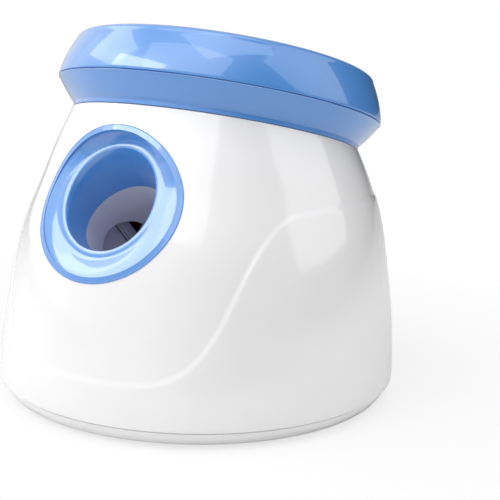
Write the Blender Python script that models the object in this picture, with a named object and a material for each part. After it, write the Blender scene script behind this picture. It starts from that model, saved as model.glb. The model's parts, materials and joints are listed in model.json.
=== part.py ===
"""Automatic ball launcher for small dogs, as an assembly of separate pieces.

Metres, +Z up. The origin is the centre of the footprint on the floor, and the muzzle looks along -Y.
The launch frame sits in the mouth: its Z runs out along the barrel, its Y up and back, its X sideways.
Depths are counted from the mouth back into the barrel.
"""

import math

import bmesh
import bpy
from mathutils import Matrix, Vector

# Fits
GAP = 0.0003
RUNNING_GAP = 0.0003
OVERRUN = 0.01
SINK = 0.0005

# Ball and launch line
BALL_RADIUS = 0.0255
BORE_CLEARANCE = 0.0015
CHUTE_CLEARANCE = 0.0011
SEAT_RADIUS = 0.0235
LAUNCH_ANGLE = math.radians(45)
MUZZLE_HEIGHT = 0.1375
MOUTH_RECESS = 0.0085
BORE_RADIUS = BALL_RADIUS + BORE_CLEARANCE
CHUTE_RADIUS = BALL_RADIUS + CHUTE_CLEARANCE

# Dome
BODY_RADIUS = 0.1329
BODY_HEIGHT = 0.171
BODY_TILT = math.radians(13.1)
WALL = 0.0025
TOP_LEDGE = 0.0086
BASE_SEAM_HEIGHT = 0.011
FOOT_HEIGHT = 0.002
SECTION_HEIGHT_SHARES = (0.0, 0.03, 0.08, 0.30, 0.55, 0.78, 1.0)
SECTION_RADIUS_SHARES = (0.935, 0.973, 1.0, 0.977, 0.927, 0.845, 0.727)
SECTION_SHIFT_SHARES = (0.0, 0.0, 0.0, 0.026, 0.053, 0.111, 0.128)
BODY_SEGMENTS = 56
LOWER_ROWS = 6
UPPER_ROWS = 8
RAY_START = 0.040
INNER_ROWS = 7

# Soft step that runs round the flanks
STEP_PROUD = 0.0009
STEP_BAND_SHARE = 0.012
STEP_LOW_SHARE = 0.19
STEP_HIGH_SHARE = 0.74
STEP_CENTRE = math.radians(43.2)
STEP_SPREAD = math.radians(5.35)
STEP_CLIMB_SHARE = 0.103
STEP_CLIMB_FROM = math.radians(66)
STEP_FADE_FROM = math.radians(115)
STEP_FADE_TO = math.radians(165)

# Blue rim and ball bowl
COLLAR_NECK = 0.003
RIM_SEAM_HEIGHT = 0.0188
RIM_FLARE = 0.0122
RIM_SHOULDER_HEIGHT = 0.0452
RIM_SHOULDER_OUT = 0.0035
RIM_TOP_HEIGHT = 0.0494
RIM_TOP_IN = 0.0083
RIM_LIP = 0.0045
RIM_LIP_DROP = 0.0045
RIM_WALL_SHARES = (0.0, 0.28, 0.62, 1.0)
RIM_BULGE_POWER = 1.6
RIM_ROLL_TURNS = tuple(math.radians(degrees) for degrees in (30, 60, 90))
LIP_ROLL_TURNS = tuple(math.radians(degrees) for degrees in (50, 90))
COLLAR_SHARES = (0.0, 0.35, 0.7, 1.0)
COLLAR_BULGE_POWER = 0.85
BOWL_SHARES = (0.18, 0.42, 0.64, 0.81, 0.93, 1.0)
BOWL_TURN_POWER = 12
THROAT_DISTANCE = 0.088
THROAT_COLLAR = 0.018
RIM_SEGMENTS = 44

# Muzzle surround
MOUTH_PITCH = math.radians(27)
MOUTH_RADIUS = 0.0332
MOUTH_LIP_DEPTH = 0.005
MOUTH_LIP_SHARES = (0.35, 0.7)
MUZZLE_TUBE_DEPTH = 0.022
MUZZLE_TUBE_WALL = 0.0022
BEZEL_PITCH = math.radians(22.5)
BEZEL_DROP = 0.001
BEZEL_HALF_WIDTH = 0.052
BEZEL_HALF_HEIGHT = 0.049
BEZEL_LAP = 0.0035
BEZEL_BROW = 0.004
BEZEL_PROUD = 0.0016
BEZEL_EDGE = 0.0007
BEZEL_ROUND = 0.0008
BEZEL_SKIRT = 0.004
BEZEL_BACK = 0.003
BEZEL_SEGMENTS = 44

# Barrel
BARREL_RADIUS = 0.0295
BARREL_TAIL_RADIUS = 0.0265
BARREL_TAPER = 0.003
INLET_DEPTH = 0.080
NECK_RADIUS = 0.0291
NECK_HEIGHT = 0.040
PORT_DEPTH = 0.064
PORT_RADIUS = 0.0225
SLOT_HALF_WIDTH = 0.0055
BARREL_SEGMENTS = 32
LUG_HALF_SIZE = 0.005
LUG_INSET = 0.010
FRONT_LUG_DEPTH = 0.035
FRONT_LUG_RISE = 0.0
REAR_LUG_DEPTH = 0.098
REAR_LUG_RISE = -0.017

# Chute
CHUTE_WALL = 0.0025
BELL_LENGTH = 0.0105
BELL_DROP = 0.008
BELL_WALL = 0.0026

# Striker, spring and rack
STRIKER_REST_GAP = 0.0006
STRIKER_THICKNESS = 0.006
STRIKER_CLEARANCE = 0.0008
STRIKER_STROKE = 0.030
ARM_HALF_WIDTH = 0.0045
SPRING_REST_LENGTH = 0.053
SPRING_RADIUS = 0.010
SPRING_WIRE_RADIUS = 0.0009
SPRING_TURNS = 7
SPRING_TURN_POINTS = 10
SEAT_BAR_THICKNESS = 0.004
SEAT_BAR_HALF_HEIGHT = 0.012
SEAT_POST_RADIUS = 0.0065
SEAT_POST_LENGTH = 0.020
RACK_PITCH_RISE = 0.005
RACK_BACK_RISE = -0.005

# Gear train
PRESSURE_ANGLE = math.radians(20)
ADDENDUM_SHARE = 0.8
DEDENDUM_SHARE = 1.1
BACKLASH = 0.0003
PINION_TEETH = 12
MOTOR_MODULE = 0.001
MOTOR_WHEEL_TEETH = 32
MIDDLE_MODULE = 0.001
MIDDLE_WHEEL_TEETH = 36
FINAL_MODULE = 0.00125
FINAL_WHEEL_TEETH = 36
RACK_MODULE = 0.0015
SECTOR_FULL_TEETH = 28
SECTOR_TEETH = 10
SECTOR_LEAD_TEETH = 2
SECTOR_DEPTH = 0.095
SECOND_GEAR_ANGLE = math.radians(-60)
FIRST_GEAR_ANGLE = math.radians(-80)
MOTOR_ANGLE = math.radians(-90)
AXLE_RADIUS = 0.0015
HUB_RADIUS = 0.0035
LAYER_GAP = 0.0006
WHEEL_WIDTHS = (0.006, 0.005, 0.004, 0.004)
HUB_END_GAP = 0.0004
BORE_SEGMENTS = 10

# Chassis and gearbox plates
PLATE_INSET = 0.0312
PLATE_THICKNESS = 0.0025
PLATE_EDGE = 0.010
FOOT_FLANGE_WIDTH = 0.012
FOOT_FLANGE_THICKNESS = 0.003
FOOT_FLANGE_FRONT = -0.060
FOOT_FLANGE_BACK = 0.026
COVER_THICKNESS = 0.0025
POST_RADIUS = 0.0035
POST_EDGE = 0.006
POST_CLEARANCE = 0.0018
SENSOR_RADIUS = 0.004
SENSOR_RISE = 0.0245
SENSOR_DEPTH = 0.067
SENSOR_FLANGE = 0.0012
SENSOR_FLANGE_THICKNESS = 0.0012

# Motor
MOTOR_RADIUS = 0.0139
MOTOR_LENGTH = 0.038
MOTOR_SHOULDER = 0.0015
MOTOR_SHAFT_RADIUS = 0.00115
MOTOR_SHAFT_TAIL = 0.003

# Screws
SCREW_RADIUS = 0.0014
SCREW_HOLE_RADIUS = 0.0018
SCREW_HEAD_RADIUS = 0.003
SCREW_HEAD_HEIGHT = 0.0018
SCREW_SEGMENTS = 8
COVER_SCREW_LENGTH = 0.009
CHASSIS_SCREW_PLACES = (-0.045, 0.012)

# Base tray
TRAY_FLOOR = 0.0025
TRAY_LIP_HEIGHT = 0.0035
TRAY_LIP_WALL = 0.0018
TRAY_HEEL = 0.006
TRAY_WALL_TOP = 0.008
SCREW_POST_RADIUS = 0.0045
BASE_SCREW_INSET = 0.0149
BASE_SCREW_CIRCLE = BODY_RADIUS - BASE_SCREW_INSET
BASE_SCREW_REACH = 0.012
BASE_SCREW_ANGLES = tuple(math.radians(degrees) for degrees in (20, 160, 200, 340))
BOSS_WIDTH = 0.009
BOSS_BOTTOM = 0.0152
BOSS_TOP = 0.036
BOSS_BACK = 0.006
FOOT_RADIUS = 0.009
FOOT_INSET = 0.0279
FOOT_CIRCLE = BODY_RADIUS - FOOT_INSET
FOOT_ANGLES = tuple(math.radians(degrees) for degrees in (45, 135, 225, 315))
FOOT_PEG_RADIUS = 0.003
FOOT_PEG_LENGTH = 0.0035
FOOT_SEGMENTS = 14

# Battery box
CELL_RADIUS = 0.0131
CELL_LENGTH = 0.050
CELL_GAP = 0.0004
CELL_NUB_RADIUS = 0.003
CELL_NUB = 0.001
CELL_COLUMNS = 2
CELL_ROWS = 2
CELL_SEGMENTS = 12
CONTACT_THICKNESS = 0.0006
CONTACT_HALF_HEIGHT = 0.009
BATTERY_FRONT = 0.042
BOX_WALL = 0.002
BOX_LEDGE = 0.003
DOOR_THICKNESS = 0.002
DOOR_PULL_RADIUS = 0.006
DOOR_PULL_DEPTH = 0.0008

# Back panel, button and sockets
PANEL_HEIGHT = 0.100
PANEL_PITCH = math.radians(7)
PANEL_HALF_WIDTH = 0.022
PANEL_HALF_HEIGHT = 0.013
PANEL_PROUD = 0.0008
PANEL_FLANGE = 0.004
PANEL_FLANGE_THICKNESS = 0.002
PANEL_SEAT_GAP = 0.0010
PANEL_SEGMENTS = 28
PANEL_CORNER_POWER = 3.0
PANEL_INNER_SHARE = 0.55
BUTTON_RADIUS = 0.0065
BUTTON_PROUD = 0.0024
BUTTON_TRAVEL = 0.0015
BUTTON_FLANGE = 0.0015
BUTTON_FLANGE_THICKNESS = 0.0012
BUTTON_FLANGE_DROP = 0.0007
BUTTON_STEM_RADIUS = 0.002
BUTTON_STEM = 0.0017
SWITCH_GAP = 0.0003
SWITCH_HALF_SIZE = 0.003
SWITCH_HEIGHT = 0.0036
PANEL_BOARD_THICKNESS = 0.0016
PANEL_BOARD_HALF_WIDTH = 0.021
PANEL_BOARD_HALF_HEIGHT = 0.009
PANEL_POST_RADIUS = 0.002
PANEL_POST_OUT = 0.0175
LENS_RADIUS = 0.0015
LENS_PROUD = 0.0011
LENS_OUT = 0.0115
LENS_STEP = 0.005
DC_HEIGHT = 0.026
DC_BODY_RADIUS = 0.0055
DC_FLANGE_RADIUS = 0.0075
DC_FLANGE_THICKNESS = 0.0011
DC_SEAT = 0.0004
DC_LENGTH = 0.014
DC_SOCKET_RADIUS = 0.0032
DC_SOCKET_DEPTH = 0.009
DC_PIN_RADIUS = 0.001

# Circuit board
BOARD_THICKNESS = 0.0016
BOARD_HALF_WIDTH = 0.024
BOARD_HALF_HEIGHT = 0.017
BOARD_STANDOFF = 0.006
BOARD_POST_RADIUS = 0.003
BOARD_POST_INSET = 0.005
BOARD_RISE = 0.030
BOARD_DEPTH = 0.135
CHIP_HALF_WIDTH = 0.003
CHIP_HALF_LENGTH = 0.005
BUZZER_RADIUS = 0.006
BUZZER_HEIGHT = 0.0055
BUZZER_PORT_RADIUS = 0.0012
BUZZER_OFFSET = 0.009

ROUND_SEGMENTS = 20


def clear_scene():
    """Empty the scene."""
    for thing in list(bpy.data.objects):
        bpy.data.objects.remove(thing, do_unlink=True)


def finish(name, colour, roughness, metallic=0.0):
    """A plain material with the piece's colour, roughness and metallic value."""
    material = bpy.data.materials.new(name)
    material.use_nodes = True
    shader = material.node_tree.nodes["Principled BSDF"]
    shader.inputs["Base Color"].default_value = (*colour, 1.0)
    shader.inputs["Roughness"].default_value = roughness
    shader.inputs["Metallic"].default_value = metallic
    material.diffuse_color = (*colour, 1.0)
    return material


# Mesh makers


def lofted(layers, ring=False):
    """A closed mesh through layers of points. A one-point layer makes a fan, and a ring joins its ends."""
    shape = bmesh.new()
    rows = [[shape.verts.new(point) for point in layer] for layer in layers]
    pairs = list(zip(rows, rows[1:]))
    if ring:
        pairs.append((rows[-1], rows[0]))
    for low, high in pairs:
        count = max(len(low), len(high))
        for i in range(count):
            j = (i + 1) % count
            if len(low) == 1:
                shape.faces.new((low[0], high[i], high[j]))
            elif len(high) == 1:
                shape.faces.new((low[i], low[j], high[0]))
            else:
                shape.faces.new((low[i], low[j], high[j], high[i]))
    if not ring:
        for row in (rows[0], rows[-1]):
            if len(row) > 2:
                shape.faces.new(row)
    bmesh.ops.recalc_face_normals(shape, faces=shape.faces)
    return mesh_of(shape)


def mesh_of(shape):
    """The mesh of a finished bmesh, shaded smooth but sharp at its edges."""
    mesh = bpy.data.meshes.new("shape")
    shape.to_mesh(mesh)
    shape.free()
    mesh.shade_smooth()
    mesh.set_sharp_from_angle(angle=math.radians(32))
    return mesh


def ring_points(radius, height, segments):
    """A level circle of points, or one point where the radius is zero."""
    if radius == 0:
        return [Vector((0, 0, height))]
    turns = [math.tau * i / segments for i in range(segments)]
    return [Vector((radius * math.cos(t), radius * math.sin(t), height)) for t in turns]


def turned(profile, segments=ROUND_SEGMENTS):
    """A mesh turned about local Z. A profile that stays off the axis closes on itself."""
    off_axis = all(radius > 0 for radius, _ in profile)
    run = list(profile)
    # A flat end is one face, with no fan of edges for a concentric bore to graze.
    if run[0][0] == 0 and run[0][1] == run[1][1]:
        run = run[1:]
    if run[-1][0] == 0 and run[-1][1] == run[-2][1]:
        run = run[:-1]
    return lofted([ring_points(radius, height, segments) for radius, height in run], ring=off_axis)


def rod(radius, low, high, segments=ROUND_SEGMENTS):
    """A plain round rod along local Z."""
    return turned(((0, low), (radius, low), (radius, high), (0, high)), segments)


def prism(outline, low, high):
    """A straight prism along local Z over a flat outline."""
    return lofted([[Vector((x, y, z)) for x, y in outline] for z in (low, high)])


def block(low, high):
    """A box between two corners."""
    (x0, y0, z0), (x1, y1, z1) = low, high
    return prism(((x0, y0), (x1, y0), (x1, y1), (x0, y1)), z0, z1)


def gathered(parts):
    """One mesh of several meshes, each moved by its own matrix."""
    shape = bmesh.new()
    for mesh, place in parts:
        moved = mesh.copy()
        moved.transform(place)
        shape.from_mesh(moved)
    return mesh_of(shape)


def hull_outline(circles, segments=ROUND_SEGMENTS):
    """The rounded outline stretched round flat circles, each given as x, y, radius."""
    points = []
    for x, y, radius in circles:
        for i in range(segments):
            turn = math.tau * i / segments
            points.append((x + radius * math.cos(turn), y + radius * math.sin(turn)))
    points.sort()

    def half(run):
        kept = []
        for point in run:
            while len(kept) > 1 and cross(kept[-2], kept[-1], point) <= 0:
                kept.pop()
            kept.append(point)
        return kept[:-1]

    return half(points) + half(points[::-1])


def cross(a, b, c):
    """Twice the signed area of a flat triangle."""
    return (b[0] - a[0]) * (c[1] - a[1]) - (b[1] - a[1]) * (c[0] - a[0])


# Objects


def piece(name, mesh, material, place=Matrix(), parent=None):
    """A named piece of the assembly at its place, which counts from its parent when it has one."""
    thing = bpy.data.objects.new(name, mesh)
    bpy.context.scene.collection.objects.link(thing)
    thing.parent = parent
    thing.matrix_basis = place
    if not mesh.materials:
        mesh.materials.append(material)
    return thing


def shape_piece(owner, name, mesh, operation, place=Matrix(), parent=None):
    """Cut a hidden helper from a piece, or join the helper to it."""
    helper = bpy.data.objects.new(name, mesh)
    bpy.context.scene.collection.objects.link(helper)
    helper.parent = parent
    helper.matrix_basis = place
    helper.hide_render = True
    helper.display_type = "WIRE"
    step = owner.modifiers.new(name, "BOOLEAN")
    step.operation = operation
    step.object = helper


def cut(owner, name, mesh, place=Matrix(), parent=None):
    """Cut a mesh from a piece."""
    shape_piece(owner, name, mesh, "DIFFERENCE", place, parent)


def join(owner, name, mesh, place=Matrix(), parent=None):
    """Join a mesh to a piece."""
    shape_piece(owner, name, mesh, "UNION", place, parent)


def at(x=0.0, y=0.0, z=0.0):
    """A shift."""
    return Matrix.Translation((x, y, z))


def frame_of(origin, pitch):
    """A frame whose Z looks forward along -Y, raised by the pitch, and whose X is sideways."""
    return Matrix.Translation(origin) @ Matrix.Rotation(math.pi / 2 - pitch, 4, "X")


def back_frame_of(origin, pitch):
    """A frame whose Z looks back along +Y, raised by the pitch."""
    raised = Matrix.Rotation(math.pi / 2 - pitch, 4, "X")
    return Matrix.Translation(origin) @ Matrix.Rotation(math.pi, 4, "Z") @ raised


SIDEWAYS = Matrix(((0, 0, 1, 0), (1, 0, 0, 0), (0, 1, 0, 0), (0, 0, 0, 1)))
MIRRORED_SIDEWAYS = Matrix(((0, 0, -1, 0), (-1, 0, 0, 0), (0, 1, 0, 0), (0, 0, 0, 1)))


# The dome's surface


def smooth_between(values, at_share):
    """A smooth curve with no overshoot through the values that belong to the section heights."""
    xs = SECTION_HEIGHT_SHARES
    steps = [b - a for a, b in zip(xs, xs[1:])]
    slopes = [(b - a) / step for a, b, step in zip(values, values[1:], steps)]
    bends = [end_slope(steps[0], steps[1], slopes[0], slopes[1])]
    for i in range(1, len(slopes)):
        before, after = slopes[i - 1], slopes[i]
        if before * after <= 0:
            bends.append(0.0)
            continue
        near = 2 * steps[i] + steps[i - 1]
        far = steps[i] + 2 * steps[i - 1]
        bends.append((near + far) / (near / before + far / after))
    bends.append(end_slope(steps[-1], steps[-2], slopes[-1], slopes[-2]))
    i = max(k for k in range(len(steps)) if k == 0 or at_share >= xs[k])
    share = (at_share - xs[i]) / steps[i]
    rest = 1 - share
    start = values[i] * (1 + 2 * share) + steps[i] * share * bends[i]
    end = values[i + 1] * (1 + 2 * rest) - steps[i] * rest * bends[i + 1]
    return rest * rest * start + share * share * end


def end_slope(near_step, far_step, near_slope, far_slope):
    """The slope at an end of the smooth curve."""
    slope = ((2 * near_step + far_step) * near_slope - near_step * far_slope) / (near_step + far_step)
    return 0.0 if slope * near_slope <= 0 else slope


def section(share):
    """Centre, radius and tilt of the dome's round section at a share of its height."""
    shift = smooth_between(SECTION_SHIFT_SHARES, share) * BODY_RADIUS
    radius = smooth_between(SECTION_RADIUS_SHARES, share) * BODY_RADIUS
    # Sections are level up to the base seam, and lean back more and more above it.
    seam_share = (BASE_SEAM_HEIGHT + GAP) / BODY_HEIGHT
    lean = max(share - seam_share, 0.0) / (1 - seam_share)
    return Vector((0, shift, share * BODY_HEIGHT)), radius, lean * BODY_TILT


def section_point(share, turn, grow=0.0):
    """A point on the dome's wall, at an angle from +X towards +Y."""
    centre, radius, tilt = section(share)
    radius += grow
    back = radius * math.sin(turn)
    return centre + Vector((radius * math.cos(turn), back * math.cos(tilt), -back * math.sin(tilt)))


def excess(point):
    """How far a point lies outside the dome's surface."""
    share = point.z / BODY_HEIGHT
    for _ in range(6):
        centre, radius, tilt = section(min(max(share, 0.0), 1.0))
        share = (point.z + math.tan(tilt) * (point.y - centre.y)) / BODY_HEIGHT
    centre, radius, tilt = section(min(max(share, 0.0), 1.0))
    offset = point - centre
    return math.hypot(offset.x, offset.y * math.cos(tilt) - offset.z * math.sin(tilt)) - radius


def on_dome(origin, direction):
    """How far along a direction from a point inside the dome its surface lies."""
    near, far = 0.0, 2 * BODY_RADIUS
    for _ in range(36):
        middle = (near + far) / 2
        if excess(origin + middle * direction) > 0:
            far = middle
        else:
            near = middle
    return near


def dome_front(height):
    """The y of the dome's front surface at a height."""
    return -on_dome(Vector((0, 0, height)), Vector((0, -1, 0)))


def dome_back(height):
    """The y of the dome's back surface at a height."""
    return on_dome(Vector((0, 0, height)), Vector((0, 1, 0)))


def step_share(from_front):
    """The height share of the soft step, at an angle from the front."""
    rise = 1 / (1 + math.exp(-(from_front - STEP_CENTRE) / STEP_SPREAD))
    climb = max(from_front - STEP_CLIMB_FROM, 0.0) * STEP_CLIMB_SHARE
    return STEP_LOW_SHARE + (STEP_HIGH_SHARE - STEP_LOW_SHARE) * rise + climb * (1 - fade(from_front))


def fade(from_front):
    """How far the soft step has died out, at an angle from the front."""
    share = (from_front - STEP_FADE_FROM) / (STEP_FADE_TO - STEP_FADE_FROM)
    share = min(max(share, 0.0), 1.0)
    return share * share * (3 - 2 * share)


def unit_outline(segments, power=2.0):
    """A unit circle, or a rounded square where the power is above two."""
    points = []
    for i in range(segments):
        turn = math.tau * i / segments
        along = math.copysign(abs(math.cos(turn)) ** (2 / power), math.cos(turn))
        up = math.copysign(abs(math.sin(turn)) ** (2 / power), math.sin(turn))
        points.append((along, up))
    return points


def surface_ring(frame, half_width, half_height, offset, segments, power=2.0):
    """A ring on the dome's surface, oval or squared, seen along a frame's Z, and raised by an offset."""
    points = []
    direction = frame.to_3x3() @ Vector((0, 0, 1))
    for along, up in unit_outline(segments, power):
        start = frame @ Vector((half_width * along, half_height * up, -RAY_START))
        points.append(start + (on_dome(start, direction) + offset) * direction)
    return points


# Frames that several pieces share

LAUNCH_FRAME = frame_of((0, dome_front(MUZZLE_HEIGHT) + MOUTH_RECESS, MUZZLE_HEIGHT), LAUNCH_ANGLE)
BEZEL_HEIGHT = MUZZLE_HEIGHT - BEZEL_DROP
BEZEL_FRAME = frame_of((0, dome_front(BEZEL_HEIGHT), BEZEL_HEIGHT), BEZEL_PITCH)
PANEL_FRAME = back_frame_of((0, dome_back(PANEL_HEIGHT), PANEL_HEIGHT), PANEL_PITCH)
DC_FRAME = back_frame_of((0, dome_back(DC_HEIGHT), DC_HEIGHT), 0.0)

# Sizes along the launch line
SEAT_STANDOFF = math.sqrt(BALL_RADIUS**2 - SEAT_RADIUS**2)
SEAT_DEPTH = INLET_DEPTH + SEAT_STANDOFF
STRIKER_DEPTH = INLET_DEPTH + BALL_RADIUS + STRIKER_REST_GAP
STRIKER_BACK = STRIKER_DEPTH + STRIKER_THICKNESS
BARREL_END = STRIKER_BACK + STRIKER_STROKE + OVERRUN / 10
SEAT_BAR_DEPTH = STRIKER_BACK + SPRING_REST_LENGTH
SLOT_FRONT = STRIKER_DEPTH - SLOT_HALF_WIDTH
LUG_BORE_START = BARREL_RADIUS - WALL / 2

# Layers of the gear train, counted sideways from the right plate
PLATE_OUTER = PLATE_INSET + PLATE_THICKNESS
LAYER_STARTS = [
    PLATE_OUTER + LAYER_GAP + sum(WHEEL_WIDTHS[:k]) + k * LAYER_GAP for k in range(len(WHEEL_WIDTHS))
]
LAYER_ENDS = [start + width for start, width in zip(LAYER_STARTS, WHEEL_WIDTHS)]
COVER_INNER = LAYER_ENDS[-1] + LAYER_GAP + HUB_END_GAP
COVER_OUTER = COVER_INNER + COVER_THICKNESS


def pitch_radius(module, teeth):
    """The pitch radius of a gear."""
    return module * teeth / 2


def step_from(centre, distance, angle):
    """A place in the gear plane at a distance and an angle from another."""
    return (centre[0] + distance * math.cos(angle), centre[1] + distance * math.sin(angle))


SECTOR_RADIUS = pitch_radius(RACK_MODULE, SECTOR_FULL_TEETH)
FINAL_CENTRE = (RACK_PITCH_RISE + SECTOR_RADIUS, -SECTOR_DEPTH)
MIDDLE_CENTRE = step_from(
    FINAL_CENTRE, pitch_radius(FINAL_MODULE, PINION_TEETH + FINAL_WHEEL_TEETH), SECOND_GEAR_ANGLE
)
FIRST_CENTRE = step_from(
    MIDDLE_CENTRE, pitch_radius(MIDDLE_MODULE, PINION_TEETH + MIDDLE_WHEEL_TEETH), FIRST_GEAR_ANGLE
)
MOTOR_CENTRE = step_from(
    FIRST_CENTRE, pitch_radius(MOTOR_MODULE, PINION_TEETH + MOTOR_WHEEL_TEETH), MOTOR_ANGLE
)
AXLE_CENTRES = (FINAL_CENTRE, MIDDLE_CENTRE, FIRST_CENTRE)


def post_reach(module, teeth):
    """How far a cover post stands from the centre of the wheel beside it."""
    return pitch_radius(module, teeth) + module + POST_RADIUS + POST_CLEARANCE


POST_CENTRES = (
    step_from(FINAL_CENTRE, post_reach(FINAL_MODULE, FINAL_WHEEL_TEETH), math.radians(60)),
    step_from(MIDDLE_CENTRE, post_reach(MIDDLE_MODULE, MIDDLE_WHEEL_TEETH), math.radians(15)),
    step_from(FIRST_CENTRE, post_reach(MOTOR_MODULE, MOTOR_WHEEL_TEETH), math.radians(200)),
)

LUG_PLACES = ((FRONT_LUG_RISE, -FRONT_LUG_DEPTH), (REAR_LUG_RISE, -REAR_LUG_DEPTH))

# Battery box sizes
CELL_PITCH = 2 * CELL_RADIUS + CELL_GAP
CELL_STEP = CELL_LENGTH + CELL_NUB + CELL_GAP
BOX_HALF_WIDTH = CELL_COLUMNS * CELL_STEP / 2 + CONTACT_THICKNESS + 2 * GAP
BOX_FRONT = BATTERY_FRONT
BOX_BACK = BOX_FRONT + CELL_ROWS * CELL_PITCH + CELL_GAP
TRAY_TOP = FOOT_HEIGHT + TRAY_FLOOR
LEDGE_BOTTOM = FOOT_HEIGHT + DOOR_THICKNESS + 2 * GAP
CELL_HEIGHT = LEDGE_BOTTOM + GAP + CELL_RADIUS
BOX_TOP = CELL_HEIGHT + CELL_RADIUS + CELL_GAP


# Gears


def involute(angle):
    """The involute function."""
    return math.tan(angle) - angle


def tooth_half_angle(module, teeth, radius):
    """Half the angle that a tooth covers at a radius."""
    pitch = pitch_radius(module, teeth)
    base = pitch * math.cos(PRESSURE_ANGLE)
    slope = math.acos(min(base / max(radius, base), 1.0))
    return math.pi / (2 * teeth) - BACKLASH / (2 * pitch) + involute(PRESSURE_ANGLE) - involute(slope)


def gear_outline(module, teeth, phase, kept=None):
    """A spur gear's outline with a tooth centred on the phase. Teeth that aren't kept end at the root."""
    root = pitch_radius(module, teeth) - DEDENDUM_SHARE * module
    tip = pitch_radius(module, teeth) + ADDENDUM_SHARE * module
    points = []
    for k in range(teeth):
        centre = phase + math.tau * k / teeth
        whole = kept is None or k in kept
        for radius, side in ((root, -1), (tip, -1), (tip, 1), (root, 1)):
            reach = radius if whole else root
            turn = centre + side * tooth_half_angle(module, teeth, radius)
            if whole or radius == root:
                points.append((reach * math.cos(turn), reach * math.sin(turn)))
    return points


def meshing_phase(phase, teeth, other_teeth, angle):
    """The phase of a gear that meshes with another one, which it sees along the angle between them."""
    return angle + math.pi + math.pi / other_teeth - (phase - angle) * teeth / other_teeth


def angle_between(centre, other):
    """The angle in the gear plane from one centre to another."""
    return math.atan2(other[1] - centre[1], other[0] - centre[0])


def gear_piece(name, layers, centre, material, launch):
    """A gear of one or two toothed layers on a long hub, bored for its axle."""
    place = launch_place(centre)
    hub = rod(HUB_RADIUS, PLATE_OUTER + HUB_END_GAP, COVER_INNER - HUB_END_GAP, BORE_SEGMENTS)
    gear = piece(name, hub, material, place, launch)
    for number, (outline, layer) in enumerate(layers):
        start, end = LAYER_STARTS[layer], LAYER_ENDS[layer]
        join(gear, f"{name}_wheel_{number}", prism(outline, start, end), place, launch)
    bore = rod(AXLE_RADIUS + RUNNING_GAP, 0, COVER_OUTER, BORE_SEGMENTS)
    cut(gear, f"{name}_bore", bore, place, launch)
    return gear


def launch_place(centre):
    """The place in the launch frame of something that turns sideways about a centre in the gear plane."""
    return at(0, centre[0], centre[1]) @ SIDEWAYS


def build_gear_train(materials, launch):
    """Sector and final wheel, the two compound gears, and the pinion on the motor."""
    final_phase = 0.0
    middle_turn = angle_between(FINAL_CENTRE, MIDDLE_CENTRE)
    middle_small = meshing_phase(final_phase, FINAL_WHEEL_TEETH, PINION_TEETH, middle_turn)
    first_turn = angle_between(MIDDLE_CENTRE, FIRST_CENTRE)
    first_small = meshing_phase(middle_small, MIDDLE_WHEEL_TEETH, PINION_TEETH, first_turn)
    motor_turn = angle_between(FIRST_CENTRE, MOTOR_CENTRE)
    motor_phase = meshing_phase(first_small, MOTOR_WHEEL_TEETH, PINION_TEETH, motor_turn)
    sector_phase = math.pi + math.pi / SECTOR_FULL_TEETH
    first_kept = SECTOR_LEAD_TEETH - SECTOR_TEETH
    kept = {k % SECTOR_FULL_TEETH for k in range(first_kept, SECTOR_LEAD_TEETH)}
    white = materials["gear"]
    gear_piece("cocking_gear", (
        (gear_outline(RACK_MODULE, SECTOR_FULL_TEETH, sector_phase, kept), 0),
        (gear_outline(FINAL_MODULE, FINAL_WHEEL_TEETH, final_phase), 1),
    ), FINAL_CENTRE, white, launch)
    gear_piece("second_gear", (
        (gear_outline(FINAL_MODULE, PINION_TEETH, middle_small), 1),
        (gear_outline(MIDDLE_MODULE, MIDDLE_WHEEL_TEETH, middle_small), 2),
    ), MIDDLE_CENTRE, white, launch)
    gear_piece("first_gear", (
        (gear_outline(MIDDLE_MODULE, PINION_TEETH, first_small), 2),
        (gear_outline(MOTOR_MODULE, MOTOR_WHEEL_TEETH, first_small), 3),
    ), FIRST_CENTRE, white, launch)
    build_motor(materials, launch, motor_phase)
    axle = rod(AXLE_RADIUS, PLATE_INSET + GAP, COVER_OUTER - GAP, BORE_SEGMENTS)
    for name, centre in zip(("cocking_axle", "second_axle", "first_axle"), AXLE_CENTRES):
        piece(name, axle, materials["steel"], launch_place(centre), launch)


def build_motor(materials, launch, phase):
    """Motor can outside the gearbox cover, its shaft, and the pinion pressed on the shaft."""
    place = launch_place(MOTOR_CENTRE)
    start = COVER_OUTER + GAP
    end = start + MOTOR_LENGTH
    shaft_bore = MOTOR_SHAFT_RADIUS + RUNNING_GAP
    edge = MOTOR_RADIUS - MOTOR_SHOULDER
    can = turned(((shaft_bore, start), (edge, start), (MOTOR_RADIUS, start + MOTOR_SHOULDER),
                  (MOTOR_RADIUS, end - MOTOR_SHOULDER), (edge, end), (shaft_bore, end)))
    piece("motor_can", can, materials["steel"], place, launch)
    shaft = rod(MOTOR_SHAFT_RADIUS, LAYER_STARTS[3], end + MOTOR_SHAFT_TAIL, BORE_SEGMENTS)
    piece("motor_shaft", shaft, materials["steel"], place, launch)
    pinion = piece("motor_pinion", prism(gear_outline(MOTOR_MODULE, PINION_TEETH, phase),
                                         LAYER_STARTS[3], LAYER_ENDS[3]), materials["brass"], place, launch)
    bore = rod(shaft_bore, 0, end, BORE_SEGMENTS)
    cut(pinion, "motor_pinion_bore", bore, place, launch)


# Housing


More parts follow.
